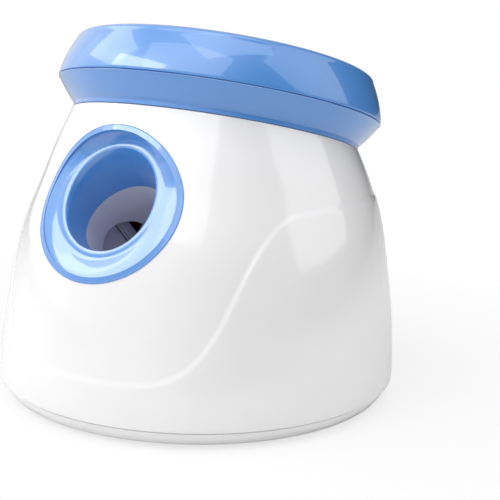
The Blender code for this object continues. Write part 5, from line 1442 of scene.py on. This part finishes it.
@dataclass(frozen=True)
class PlateDetail:
    """A thin detail on the left plate: its rise across the launch line and its depth behind the mouth."""

    name: str
    slot: Slot
    thickness: float
    rise: tuple[float, float]
    depth: tuple[float, float]
    ease: float = 0.0

    def block(self, face: float) -> bpy.types.Mesh:
        """Its block on the plate's face."""
        return Stock.block((face, self.rise[0], -self.depth[0]),
                           (face + self.thickness, self.rise[1], -self.depth[1]), self.ease)


@dataclass
class Muzzle:
    """The blue dished surround, the barrel behind it, and what shows through the barrel's side port."""

    form: DomeForm
    line: LaunchLine
    segments: int = 192
    mouth_pitch: float = math.radians(27)
    mouth_radius: float = 0.0349
    mouth_sink: float = 0.0008
    throat_radius: float = 0.0306
    lip_half: float = 0.0020
    lip_depth: float = 0.0050
    lip_crown: float = 0.0004
    corner_depth: float = 0.0016
    tube_wall: float = 0.0022
    pitch: float = math.radians(22.5)
    drop: float = 0.001
    half_width: float = 0.052
    half_height: float = 0.049
    lap: float = 0.0035
    brow: float = 0.0006
    proud: float = 0.0005
    edge: float = 0.0003
    skirt: float = 0.004
    back: float = 0.003
    face_crown: float = 0.0012
    lip_rows: int = 12
    crest_rows: int = 8
    face_rows: int = 6
    barrel_radius: float = 0.0295
    tail_radius: float = 0.0265
    taper: float = 0.003
    neck_radius: float = 0.0291
    neck_height: float = 0.040
    port_depth: float = 0.064
    port_radius: float = 0.0225
    slot_half_width: float = 0.0055
    barrel_segments: int = 96
    lug_half: float = 0.005
    lug_inset: float = 0.010
    lug_places: tuple[tuple[float, float], ...] = ((0.0, -0.035), (-0.017, -0.098))
    screw_hole: float = 0.0018
    lug_bore_sides: int = 16
    port_sides: int = 72
    edge_rows: int = 5
    mask: PlateDetail = PlateDetail("sensor_mask", Slot.RED, 0.0007, (0.0234, 0.0320), (0.079, 0.055), GAP)
    details: tuple[PlateDetail, ...] = (
        # A near-black sheet 0.2 mm thick: painted shade in the gap between the bar and the mask.
        PlateDetail("gap_painted_shade", Slot.DARK, 0.0002, (0.0216, 0.0238), (0.082, 0.050)),
        PlateDetail("plate_bar", Slot.GREY, 0.0012, (0.0150, 0.0214), (0.082, 0.048), GAP),
        # A near-black strip 0.2 mm thick: painted shade standing for a groove, which is not cut.
        PlateDetail("groove_painted_shade", Slot.DARK, 0.0002, (0.0117, 0.0124), (0.082, 0.042)),
    )
    glass_place: tuple[float, float] = (0.0245, -0.067)
    glass_hole: float = 0.0043
    glass_radius: float = 0.004
    glass_flange: float = 0.0052
    glass_thickness: float = 0.0015

    @property
    def bezel_frame(self) -> Matrix:
        """The frame that the surround lies in."""
        height = self.line.mouth_height - self.drop
        return self.form.frame((0, self.form.front(height), height), self.pitch)

    def build(self, bench: Bench) -> None:
        """Builds the surround, the barrel and the pieces behind the port.

        Args:
            bench: Where they go.
        """
        bench.fit("mouth_surround", self._surround(), Slot.BLUE, Body.HOUSING, "muzzle_bezel")
        bench.fit("barrel_tube", self._barrel(), Slot.GREY, Body.HOUSING, "launch_barrel",
                  place=self.line.frame)
        self._behind_port(bench)

    def _surround(self) -> bpy.types.Mesh:
        """The surround's closed mesh: out of the tube, over the lip and face, round its edge and back."""
        line, count = self.line, self.segments
        frame = line.frame
        mouth = Vector(frame.translation)
        mouth_frame = self.form.frame(mouth, self.mouth_pitch)
        out = mouth_frame.to_3x3() @ Vector((0, 0, 1))
        along = frame.to_3x3() @ Vector((0, 0, 1))

        def tube(radius: float, behind: Optional[float] = None) -> Ring:
            """A ring about the launch line, at the tube's end or level with the mouth at a depth."""
            ring = []
            for point in Stock.ring(radius, 0.0, count):
                place = frame @ point
                if behind is None:
                    ring.append(place - along * line.tube_depth)
                else:
                    ring.append(place - along * ((place - mouth).dot(out) + behind) / along.dot(out))
            return ring

        start = tube(self.throat_radius, self.lip_depth)
        corner = tube(self.throat_radius + self.lip_half / 3, self.corner_depth)
        inner, outer = ([mouth_frame @ point for point in Stock.ring(radius, -self.mouth_sink, count)]
                        for radius in (self.mouth_radius - self.lip_half, self.mouth_radius + self.lip_half))
        brow = self._dress(self.brow, self.proud)
        crest = [(a + b) / 2 + out * self.lip_crown for a, b in zip(inner, outer)]
        middle = [(a + b) / 2 + out * self.face_crown for a, b in zip(outer, brow)]
        layers = [tube(line.bore_radius)]
        layers += [self._bent(start, corner, inner, k / self.lip_rows) for k in range(self.lip_rows + 1)]
        layers += [self._bent(inner, crest, outer, k / self.crest_rows)
                   for k in range(1, self.crest_rows + 1)]
        layers += [self._bent(outer, middle, brow, k / self.face_rows) for k in range(1, self.face_rows + 1)]
        for k in range(1, self.edge_rows + 1):
            t = math.pi / 2 * k / self.edge_rows
            inset = self.brow * (1 - math.sin(t))
            layers.append(self._dress(inset, self.edge + (self.proud - self.edge) * math.cos(t)))
        layers += [self._dress(0.0, GAP), self._dress(self.lap + GAP, GAP),
                   self._dress(self.lap + GAP, -self.skirt)]
        rear = self.mouth_radius + self.back
        layers.append([mouth_frame @ point for point in Stock.ring(rear, -self.back, count)])
        layers.append(tube(self.throat_radius + self.tube_wall, self.lip_depth + self.back))
        layers.append(tube(line.bore_radius + self.tube_wall))
        return Stock.loft(layers, closed=True)

    @staticmethod
    def _bent(start: Ring, control: Ring, end: Ring, share: float) -> Ring:
        """A ring part of the way along a bend from one ring to another."""
        rest = 1 - share
        return [rest * rest * a + 2 * rest * share * b + share * share * c
                for a, b, c in zip(start, control, end)]

    def _dress(self, inset: float, offset: float) -> Ring:
        """A ring of the surround on the dome's surface."""
        return self.form.surface_ring(self.bezel_frame, self.half_width - inset, self.half_height - inset,
                                      offset, self.segments)

    def _barrel(self) -> bpy.types.Mesh:
        """The barrel in the launch frame: bores, inlet neck, side port, arm slot and lugs."""
        line, count = self.line, self.barrel_segments
        seat, start = line.seat_depth, line.tube_depth + GAP
        end = line.striker_back + line.stroke + OVERRUN / 10
        corners = [(0, -end), (self.tail_radius, -end, GAP), (self.tail_radius, -seat - 2 * self.taper),
                   (self.barrel_radius, -seat - self.taper), (self.barrel_radius, -start, 2 * GAP),
                   (0, -start)]
        half_step = Matrix.Rotation(math.pi / count, 4, "Z")
        up = at(0, 0, -line.inlet_depth) @ Matrix.Rotation(-math.pi / 2, 4, "X") @ half_step
        lugs, bores = [], []
        for side, turn in ((-1, MIRRORED_SIDEWAYS), (1, SIDEWAYS)):
            for rise, depth in self.lug_places:
                outer = line.plate_inset - GAP
                inner = min(math.sqrt(self.barrel_radius**2 - rise**2), outer) - self.lug_inset
                xs = sorted((side * inner, side * outer))
                lugs.append((Stock.block((xs[0], rise - self.lug_half, depth - self.lug_half),
                                         (xs[1], rise + self.lug_half, depth + self.lug_half)), Matrix()))
                bore = Stock.rod(self.screw_hole, self.barrel_radius - self.form.wall / 2, line.plate_outer,
                                 self.lug_bore_sides)
                bores.append((bore, at(0, rise, depth) @ turn))
        far = -end - OVERRUN
        wide = line.bore_radius
        bore_corners = [(0, far), (line.seat_radius, far), (line.seat_radius, -seat), (wide, -seat),
                        (wide, -start - GAP), (wide + GAP, -start + GAP), (wide + GAP, OVERRUN), (0, OVERRUN)]
        port = Stock.rod(self.port_radius, line.bore_radius / 2, line.plate_inset + OVERRUN, self.port_sides)
        slot = Stock.block((line.seat_radius / 2, -self.slot_half_width, far),
                           (line.plate_inset, self.slot_half_width,
                            self.slot_half_width - line.striker_depth))
        inlet = Stock.rod(line.chute_radius, 0, self.neck_height + OVERRUN, count)
        none = Matrix()
        return Stock.worked(Stock.turned(Stock.eased(corners), count), [
            ("UNION", Stock.rod(self.neck_radius, 0, self.neck_height, count), up),
            ("UNION", Stock.gathered(lugs), none),
            ("DIFFERENCE", port, at(0, 0, -self.port_depth) @ MIRRORED_SIDEWAYS @ half_step),
            ("DIFFERENCE", slot, none),
            ("DIFFERENCE", Stock.gathered(bores), none),
            ("DIFFERENCE", inlet, up),
            ("DIFFERENCE", Stock.turned(bore_corners, count), none),
        ])

    def _behind_port(self, bench: Bench) -> None:
        """The sensor's dark mask and pale bar on the left plate, seen through the side port, with thin
        near-black sheets of painted shade in the gap and the groove beside them.

        Args:
            bench: Where they go.
        """
        frame = self.line.frame
        face = -self.line.plate_inset
        hole = Stock.rod(self.glass_hole, 0, 2 * self.line.plate_inset)
        window = at(0, *self.glass_place) @ MIRRORED_SIDEWAYS
        mask = Stock.worked(self.mask.block(face), [("DIFFERENCE", hole, window)])
        bench.fit(self.mask.name, mask, self.mask.slot, Body.HOUSING, place=frame)
        # The thin near-black details are painted shade for the gap and the groove, not cut geometry.
        for detail in self.details:
            bench.fit(detail.name, detail.block(face), detail.slot, Body.HOUSING, place=frame)
        inset, seat = self.line.plate_inset, self.line.plate_outer + GAP
        top = self.line.plate_outer + self.glass_thickness
        flange = Stock.eased([(0, inset), (self.glass_radius, inset, GAP), (self.glass_radius, seat),
                              (self.glass_flange, seat), (self.glass_flange, top, GAP), (0, top)])
        bench.fit("sensor_glass", Stock.turned(flange, 48), Slot.RED, Body.HOUSING, "sensor_window",
                  place=frame @ window)


@dataclass
class RearPanel:
    """The dark panel on the back, its button and lenses, and the power socket below it."""

    form: DomeForm
    height: float = 0.100
    pitch: float = math.radians(7)
    half_width: float = 0.022
    half_height: float = 0.013
    proud: float = 0.0008
    flange: float = 0.004
    flange_thickness: float = 0.002
    seat_gap: float = 0.0010
    segments: int = 96
    power: float = 3.0
    ease: float = 0.0005
    button_radius: float = 0.0065
    button_proud: float = 0.0024
    button_flange: float = 0.0015
    lens_radius: float = 0.0015
    lens_out: float = 0.0115
    lens_step: float = 0.005
    lens_proud: float = 0.0011
    post_out: float = 0.0175
    post_radius: float = 0.002
    socket_height: float = 0.026
    socket_body: float = 0.0055
    socket_flange: float = 0.0075
    face_shares: tuple[float, ...] = (0.2, 0.4, 0.6, 0.8, 1.0)
    face_rows: int = 4
    hollow_share: float = 0.55
    dish_inset: float = 0.0002
    dish_reach: float = 0.0016
    dish_depth: float = 0.0011
    post_length: float = 0.0088
    round_sides: int = 64
    flange_top: float = 0.0007
    flange_low: float = 0.0019
    stem_length: float = 0.0017
    stem_radius: float = 0.002
    key_dish: float = 0.0006
    mark_depth: float = 0.0009
    mark_inner: float = 0.0020
    mark_outer: float = 0.0026
    mark_gap: float = 0.0009
    mark_bar: float = 0.0003
    mark_top: float = 0.0031
    socket_seat: float = 0.0004
    socket_face: float = 0.0015
    socket_depth: float = 0.009
    socket_tail: float = 0.014
    socket_bore: float = 0.0032
    pin_radius: float = 0.001

    @property
    def frame(self) -> Matrix:
        """The panel's frame."""
        return self.form.back_frame(self.height, self.pitch)

    @property
    def socket_frame(self) -> Matrix:
        """The socket's frame."""
        return self.form.back_frame(self.socket_height, 0.0)

    def outline(self) -> list[tuple[float, float]]:
        """The outline of the hole that the panel fills."""
        width, height = self.half_width + GAP, self.half_height + GAP
        return [(width * x, height * y) for x, y in unit_outline(self.segments, self.power)]

    def build(self, bench: Bench) -> None:
        """Builds the panel, the button, the lenses and the socket.

        Args:
            bench: Where they go.
        """
        frame = self.frame

        def ring(grow: float, offset: float, share: float = 1.0) -> Ring:
            """A ring of the panel on the dome's surface."""
            width, height = (self.half_width + grow) * share, (self.half_height + grow) * share
            return self.form.surface_ring(frame, width, height, offset, self.segments, self.power)

        back = -self.form.wall - self.seat_gap
        deep = back - self.flange_thickness
        edge = self.ease * 3
        front = [ring(-edge, self.proud, share) for share in self.face_shares]
        layers = [[frame @ Vector((0, 0, self.proud))]] + front
        for k in range(1, self.face_rows + 1):
            t = math.pi / 2 * k / self.face_rows
            layers.append(ring(-edge * (1 - math.sin(t)), self.proud - self.ease * (1 - math.cos(t))))
        layers += [ring(0.0, back), ring(self.flange, back), ring(self.flange, deep),
                   ring(0.0, deep, self.hollow_share)]
        layers.append([frame @ Vector((0, 0, deep))])
        holes = [(Stock.rod(self.button_radius + GAP, -OVERRUN, OVERRUN, self.round_sides), frame)]
        holes += [(Stock.rod(self.lens_radius + GAP, -OVERRUN, OVERRUN), frame @ place)
                  for place in self._lenses()]
        dish = Stock.turned(((0, 0), (self.button_radius + self.dish_inset, 0),
                             (self.button_radius + self.dish_reach, self.dish_depth), (0, self.dish_depth)),
                            self.round_sides)
        post = Stock.rod(self.post_radius, deep - self.post_length, deep + self.form.wall / 2)
        posts = Stock.gathered((post, frame @ at(side * self.post_out)) for side in (-1, 1))
        panel = Stock.worked(Stock.loft(layers), [("UNION", posts, Matrix()),
                                                  ("DIFFERENCE", Stock.gathered(holes), Matrix()),
                                                  ("DIFFERENCE", dish, frame)])
        bench.fit("rear_panel", panel, Slot.DARK, Body.HOUSING, "control_panel")
        self._button(bench)
        for number, place in enumerate(self._lenses(), 1):
            corners = [(0, deep), (self.lens_radius, deep), (self.lens_radius, self.lens_proud, self.ease),
                       (0, self.lens_proud)]
            lens = Stock.turned(Stock.eased(corners), 32)
            bench.fit(f"status_lens_{number}", lens, Slot.LENS, Body.HOUSING, f"led_lens_{number}",
                      place=frame @ place)
        self._socket(bench)

    def _lenses(self) -> list[Matrix]:
        """Where the lenses stand beside the button."""
        return [at(self.lens_out, step * self.lens_step, 0) for step in (-1, 0, 1)]

    def _button(self, bench: Bench) -> None:
        """The power button, dished, with a plain on and off mark sunk in its top.

        Args:
            bench: Where they go.
        """
        deep = -self.form.wall - self.seat_gap - self.flange_thickness
        flange_top, flange_low = deep - self.flange_top, deep - self.flange_low
        radius, wide, top = self.button_radius, self.button_radius + self.button_flange, self.button_proud
        stem, stem_end = self.stem_radius, flange_low - self.stem_length
        corners = [(0, stem_end), (stem, stem_end), (stem, flange_low), (wide, flange_low, GAP),
                   (wide, flange_top, GAP), (radius, flange_top), (radius, top, 0.0009),
                   (radius * 0.7, top - self.key_dish / 2, 0.0008), (0, top - self.key_dish)]
        inner, outer, sunk = self.mark_inner, self.mark_outer, top - self.mark_depth
        ring = Stock.turned(((inner, sunk), (outer, sunk), (outer, top), (inner, top)), 48)
        gap = Stock.block((-self.mark_gap, inner / 2, top - inner),
                          (self.mark_gap, 2 * inner, top + inner / 2))
        ring = Stock.worked(ring, [("DIFFERENCE", gap, Matrix())])
        bar = Stock.block((-self.mark_bar, self.mark_gap, sunk), (self.mark_bar, self.mark_top, top))
        button = Stock.worked(Stock.turned(Stock.eased(corners), 96), [("DIFFERENCE", ring, Matrix()),
                                                                       ("DIFFERENCE", bar, Matrix())])
        bench.fit("power_key", button, Slot.BLUE, Body.BUTTON, "power_button", place=self.frame)

    def _socket(self, bench: Bench) -> None:
        """The round power socket with its centre pin."""
        seat, face, tail = self.socket_seat, self.socket_face, -self.socket_tail
        floor, bore, pin = face - self.socket_depth, self.socket_bore, self.pin_radius
        corners = [(0, tail), (self.socket_body, tail, GAP), (self.socket_body, seat),
                   (self.socket_flange, seat), (self.socket_flange, face, self.ease),
                   (bore + seat, face, GAP), (bore, face - self.key_dish), (bore, floor), (pin, floor),
                   (pin, seat, GAP), (0, seat)]
        socket = Stock.turned(Stock.eased(corners), self.round_sides)
        bench.fit("power_socket", socket, Slot.DARK, Body.HOUSING, "dc_inlet", place=self.socket_frame)


@dataclass
class Works:
    """The inner works: what keeps its solid, and the round parts that are made again finer."""

    line: LaunchLine
    spring_radius: float = 0.010
    wire_radius: float = 0.0009
    spring_turns: int = 7
    head_radius: float = 0.003
    head_height: float = 0.0018
    thread_radius: float = 0.0014
    kept: tuple[tuple[str, Slot, float], ...] = (
        ("chassis_left", Slot.GREY, 0.0003), ("chassis_right", Slot.GREY, 0.0003),
        ("gearbox_cover", Slot.GREY, 0.0003), ("spring_seat", Slot.GREY, 0.0003),
        ("striker", Slot.DARK, 0.0002), ("cocking_gear", Slot.GEAR, 0.00012),
        ("second_gear", Slot.GEAR, 0.00012), ("first_gear", Slot.GEAR, 0.00012),
        ("motor_pinion", Slot.BRASS, 0.0001), ("motor_shaft", Slot.STEEL, 0.0001),
        ("cocking_axle", Slot.STEEL, 0.0001), ("second_axle", Slot.STEEL, 0.0001),
        ("first_axle", Slot.STEEL, 0.0001), ("circuit_board", Slot.BOARD, 0.0001),
        ("panel_board", Slot.BOARD, 0.0001), ("contact_plate_left", Slot.BRASS, 0.0001),
        ("contact_plate_right", Slot.BRASS, 0.0001),
    )
    wire_steps: int = 40
    cell_nub: float = 0.001
    cell_step: float = 0.0003
    cell_pole: float = 0.003
    pole_height: float = 0.0013
    can_hole: float = 0.00145
    can_groove: float = 0.0002
    sound_hole: float = 0.0012
    thread_pitch: float = 0.0009

    def build(self, bench: Bench) -> None:
        """Dresses the solids and builds the finer pieces.

        Args:
            bench: Where they go.
        """
        for node, slot, ease in self.kept:
            bench.dress(node, slot, ease)
        self._spring(bench)
        self._cells(bench)
        self._motor(bench)
        self._buzzer(bench)
        self._screws(bench)

    def _spring(self, bench: Bench) -> None:
        """The striker's compression spring, as one unbroken coil of even pitch with capped wire ends.

        Args:
            bench: Where they go.
        """
        start = GAP + self.wire_radius - self.line.striker_back - self.line.spring_length
        end = -self.line.striker_back - GAP - self.wire_radius
        count = self.spring_turns * self.wire_steps
        wire = bpy.data.curves.new("striker_coil", "CURVE")
        wire.dimensions = "3D"
        wire.bevel_depth = self.wire_radius
        wire.bevel_resolution = 4
        wire.use_fill_caps = True
        run = wire.splines.new("POLY")
        run.points.add(count)
        for i, point in enumerate(run.points):
            turn = math.tau * i / self.wire_steps
            place = self.line.frame @ Vector((self.spring_radius * math.cos(turn),
                                              self.spring_radius * math.sin(turn),
                                              start + (end - start) * i / count))
            point.co = (*place, 1.0)
        holder = bpy.data.objects.new("coil_holder", wire)
        bpy.context.scene.collection.objects.link(holder)
        graph = bpy.context.evaluated_depsgraph_get()
        mesh = bpy.data.meshes.new_from_object(holder.evaluated_get(graph))
        bpy.data.objects.remove(holder)
        mesh.shade_smooth()
        coil = bench.fit("striker_coil", mesh, Slot.STEEL, Body.HOUSING, "striker_spring")
        seat = self.line.frame @ Vector((0, 0, -self.line.striker_back - self.line.spring_length))
        axis = self.line.frame.to_3x3() @ Vector((0, 0, 1))
        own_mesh(coil)

    def _cells(self, bench: Bench) -> None:
        """The four cells, each in its jacket with a raised contact.

        Args:
            bench: Where they go.
        """
        for number in range(1, 5):
            node = f"battery_cell_{number}"
            low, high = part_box(node)
            centre, radius = (low + high) / 2, (high.z - low.z) / 2
            half = (high.x - low.x) / 2
            nub, pole, step = self.cell_nub, self.cell_pole, self.cell_step - half
            sunk = half - self.pole_height
            corners = [(0, -half), (radius * 0.55, -half, GAP), (radius * 0.6, step), (radius, step, nub),
                       (radius, half - nub, nub), (radius * 0.7, half - nub), (radius * 0.66, sunk),
                       (pole, sunk), (pole, half, GAP), (0, half)]
            bench.fit(f"cell_{number}", Stock.turned(Stock.eased(corners), 72), Slot.CELL, Body.HOUSING, node,
                      place=Matrix.Translation(centre) @ SIDEWAYS)

    def _motor(self, bench: Bench) -> None:
        """The motor can, with its rolled end, its bearing boss and its end cap.

        Args:
            bench: Where they go.
        """
        low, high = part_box("motor_can")
        centre = (low + high) / 2
        radius, half = (high.z - low.z) / 2, (high.x - low.x) / 2
        hole, groove = self.can_hole, radius - self.can_groove
        corners = [(hole, -half), (0.004, -half, GAP), (0.004, 0.0008 - half),
                   (radius, 0.0008 - half, 0.0015),
                   (radius, half - 0.006), (groove, half - 0.006), (groove, half - 0.0055),
                   (radius, half - 0.0055), (radius, half - 0.0004, 0.001), (0.0045, half - 0.0004),
                   (0.0045, half, GAP), (hole, half)]
        can = Stock.turned(Stock.eased(corners), 72)
        vents = [(Stock.block((radius * 0.5, -0.0014, half - 0.002), (radius * 0.78, 0.0014, half + 0.001)),
                  Matrix.Rotation(math.tau * k / 3, 4, "Z")) for k in range(3)]
        can = Stock.worked(can, [("DIFFERENCE", Stock.gathered(vents), Matrix())])
        bench.fit("motor_body", can, Slot.STEEL, Body.HOUSING, "motor_can",
                  place=Matrix.Translation(centre) @ SIDEWAYS)

    def _buzzer(self, bench: Bench) -> None:
        """The round buzzer with its sound hole."""
        low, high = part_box("buzzer")
        centre, radius, half = (low + high) / 2, (high.z - low.z) / 2, (high.x - low.x) / 2
        hole = self.sound_hole
        corners = [(0, -half), (radius, -half), (radius, half, 0.0005), (hole, half, GAP),
                   (hole, half - hole), (0, half - hole)]
        bench.fit("buzzer_can", Stock.turned(Stock.eased(corners), 48), Slot.DARK, Body.HOUSING, "buzzer",
                  place=Matrix.Translation(centre) @ MIRRORED_SIDEWAYS)

    def _screw(self, length: float) -> bpy.types.Mesh:
        """A screw along local -Z, its seat at zero, with a cross sunk in its head.

        Args:
            length: The length under its head.

        Returns:
            The screw's mesh.
        """
        top = self.head_height
        corners: list[tuple[float, ...]] = [(0, -length)]
        thread, core = self.thread_radius, self.thread_radius * 0.78
        turns = max(int(length / self.thread_pitch), 2)
        for k in range(turns):
            low = -length + length * k / turns
            corners += [(core, low), (thread, low + length / turns / 2)]
        corners += [(thread, 0), (self.head_radius, 0, GAP), (self.head_radius, top / 2, top / 3),
                    (self.head_radius * 0.72, top, top / 4), (0, top)]
        half, deep = self.head_radius * 0.14, top * 0.45
        reach = self.head_radius * 0.58
        slot = Stock.block((-reach, -half, top - deep), (reach, half, top + SINK))
        return Stock.worked(Stock.turned(Stock.eased(corners, 3), 32), [
            ("DIFFERENCE", slot, Matrix()), ("DIFFERENCE", slot, Matrix.Rotation(math.pi / 2, 4, "Z"))])

    def _screws(self, bench: Bench) -> None:
        """Every screw, placed and turned as its solid lies.

        Args:
            bench: Where they go.
        """
        kinds = (("base_screw", 4, "down"), ("chassis_screw", 4, "down"), ("cover_screw", 3, "right"),
                 ("barrel_screw", 4, "side"))
        made: dict[str, bpy.types.Mesh] = {}
        for kind, count, facing in kinds:
            for number in range(1, count + 1):
                node = f"{kind}_{number}"
                low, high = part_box(node)
                centre = (low + high) / 2
                span = high.z - low.z if facing == "down" else high.x - low.x
                if kind not in made:
                    made[kind] = self._screw(span - self.head_height)
                if facing == "down":
                    place = at(centre.x, centre.y, low.z + self.head_height) @ UPSIDE_DOWN
                elif centre.x > 0:
                    place = at(high.x - self.head_height, centre.y, centre.z) @ SIDEWAYS
                else:
                    place = at(low.x + self.head_height, centre.y, centre.z) @ MIRRORED_SIDEWAYS
                bench.fit(f"{kind}_fine_{number}", made[kind], Slot.STEEL, Body.HOUSING, node, place=place)


@dataclass(frozen=True)
class Softbox:
    """A rectangular lamp aimed at the object."""

    name: str
    azimuth: float
    elevation: float
    width: float
    height: float
    radiance: float
    distance: float = 1.1

    def build(self, target: Vector) -> None:
        """Adds the lamp, facing a target point."""
        turn, rise = math.radians(self.azimuth), math.radians(self.elevation)
        back = Vector((math.sin(turn) * math.cos(rise), -math.cos(turn) * math.cos(rise), math.sin(rise)))
        lamp = bpy.data.lights.new(self.name, "AREA")
        lamp.shape = "RECTANGLE"
        lamp.size, lamp.size_y = self.width, self.height
        lamp.energy = self.radiance * math.pi * self.width * self.height
        holder = bpy.data.objects.new(self.name, lamp)
        holder.location = target + back * self.distance
        holder.rotation_euler = back.to_track_quat("Z", "Y").to_euler()
        bpy.context.scene.collection.objects.link(holder)


@dataclass
class Studio:
    """The pale floor, the soft lamps and the camera."""

    target: Vector = field(default_factory=lambda: Vector((0, 0, 0.13)))
    lamps: tuple[Softbox, ...] = (
        Softbox("key_softbox", -30, 36, 0.74, 0.28, 4.4),
        Softbox("high_softbox", -66, 40, 0.60, 0.45, 1.9),
        Softbox("left_scrim", -70, 16, 1.80, 1.40, 0.3, 1.9),
        Softbox("front_scrim", 5, 48, 1.80, 1.20, 1.4, 1.9),
        Softbox("side_softbox", 112, 33, 0.84, 1.00, 1.2),
        Softbox("top_softbox", 60, 80, 1.20, 1.20, 1.6, 1.6),
    )
    ambient: float = 0.50
    dim: float = 0.30
    mirrored: float = 1.0
    shaded: float = 0.03
    bright_side: Vector = field(default_factory=lambda: Vector((-0.80, -0.55, 0.24)))
    floor_half: float = 6.0
    floor_lift: float = 0.72
    fade_start: float = 0.16
    fade_end: float = 0.42
    camera_place: Vector = field(default_factory=lambda: Vector((0.40293354, -0.57208140, 0.23827963)))
    camera_right: Vector = field(default_factory=lambda: Vector((0.84122885, 0.53989513, 0.02910785)))
    camera_up: Vector = field(default_factory=lambda: Vector((-0.13475068, 0.15721411, 0.97832815)))
    sensor: float = 36.0
    focal_share: float = 2.102014

    def build(self) -> None:
        """Builds the camera, the lamps, the world and the floor."""
        self._camera()
        for lamp in self.lamps:
            lamp.build(self.target)
        self._world()
        self._floor()
        bpy.context.scene.view_settings.view_transform = "Standard"

    def _camera(self) -> None:
        """The camera at the photograph's place and angle."""
        lens = bpy.data.cameras.new("photo_view")
        lens.sensor_width = self.sensor
        lens.lens = self.sensor * self.focal_share
        lens.clip_start, lens.clip_end = 0.01, 50.0
        camera = bpy.data.objects.new("photo_view", lens)
        right, up = self.camera_right.normalized(), self.camera_up.normalized()
        back = right.cross(up).normalized()
        up = back.cross(right)
        turn = Matrix((right, up, back)).transposed().to_4x4()
        camera.matrix_world = Matrix.Translation(self.camera_place) @ turn
        bpy.context.scene.collection.objects.link(camera)
        bpy.context.scene.camera = camera

    def _world(self) -> None:
        """White to the camera and in gloss, and a plain soft light for the rest."""
        world = bpy.data.worlds.new("studio")
        world.use_nodes = True
        bpy.context.scene.world = world
        tree = world.node_tree
        desk = Desk(tree)
        background = tree.nodes["Background"]
        background.inputs["Color"].default_value = (1.0, 1.0, 1.0, 1.0)
        path = desk.add("LightPath")
        facing = desk.add("VectorMath", operation="DOT_PRODUCT")
        desk.link(desk.add("TexCoord").outputs["Generated"], facing.inputs[0])
        facing.inputs[1].default_value = self.bright_side
        mirrored = desk.span(facing.outputs["Value"], -0.4, 0.5, self.shaded, self.mirrored)
        seen = desk.sum("MAXIMUM", path.outputs["Is Glossy Ray"], path.outputs["Is Transmission Ray"])
        plain = desk.span(facing.outputs["Value"], -0.7, 0.7, self.dim, self.ambient)
        unseen = desk.sum("MULTIPLY", desk.sum("SUBTRACT", 1.0, seen), plain)
        rest = desk.sum("ADD", desk.sum("MULTIPLY", seen, mirrored), unseen)
        strength = desk.sum("MAXIMUM", rest, path.outputs["Is Camera Ray"])
        desk.link(strength, background.inputs["Strength"])

    def _floor(self) -> None:
        """A pale floor that keeps the object's shadow and melts into the backdrop."""
        half = self.floor_half
        mesh = bpy.data.meshes.new("floor")
        mesh.from_pydata([(-half, -half, 0), (half, -half, 0), (half, half, 0), (-half, half, 0)], [],
                         [(0, 1, 2, 3)])
        floor = bpy.data.objects.new("floor", mesh)
        bpy.context.scene.collection.objects.link(floor)
        material = bpy.data.materials.new("pale_floor")
        material.use_nodes = True
        desk = Desk(material.node_tree)
        shader = material.node_tree.nodes["Principled BSDF"]
        shader.inputs["Base Color"].default_value = (0.86, 0.86, 0.86, 1.0)
        shader.inputs["Roughness"].default_value = 0.6
        glow = desk.add("Emission", Color=(1.0, 1.0, 1.0, 1.0))
        path = desk.add("LightPath")
        mix = desk.add("MixShader")
        reach = desk.add("VectorMath", operation="LENGTH")
        desk.link(desk.add("TexCoord").outputs["Object"], reach.inputs[0])
        lift = desk.span(reach.outputs["Value"], self.fade_start, self.fade_end, self.floor_lift, 1.0)
        desk.link(desk.sum("MULTIPLY", path.outputs["Is Camera Ray"], lift), mix.inputs[0])
        desk.link(shader.outputs[0], mix.inputs[1])
        desk.link(glow.outputs[0], mix.inputs[2])
        desk.link(mix.outputs[0], material.node_tree.nodes["Material Output"].inputs["Surface"])
        mesh.materials.append(material)


def main() -> None:
    """Loads the frame, dresses it in order and lights it."""
    logging.basicConfig(level=logging.INFO, format="%(message)s")
    for thing in list(bpy.data.objects):
        bpy.data.objects.remove(thing, do_unlink=True)
    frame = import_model()
    Studio().build()
    bench = Bench(frame["nodes"], PaintShop())
    form = DomeForm()
    line = LaunchLine(form)
    muzzle, panel, housing = Muzzle(form, line), RearPanel(form), Housing(form, line)
    housing.build(bench, muzzle.bezel_frame, panel.outline(), panel.frame, panel.socket_body,
                  panel.socket_frame)
    BaseTray(form).build(bench, housing)
    BallBowl(form, line).build(bench)
    muzzle.build(bench)
    panel.build(bench)
    Works(line).build(bench)


if __name__ == "__main__":
    main()
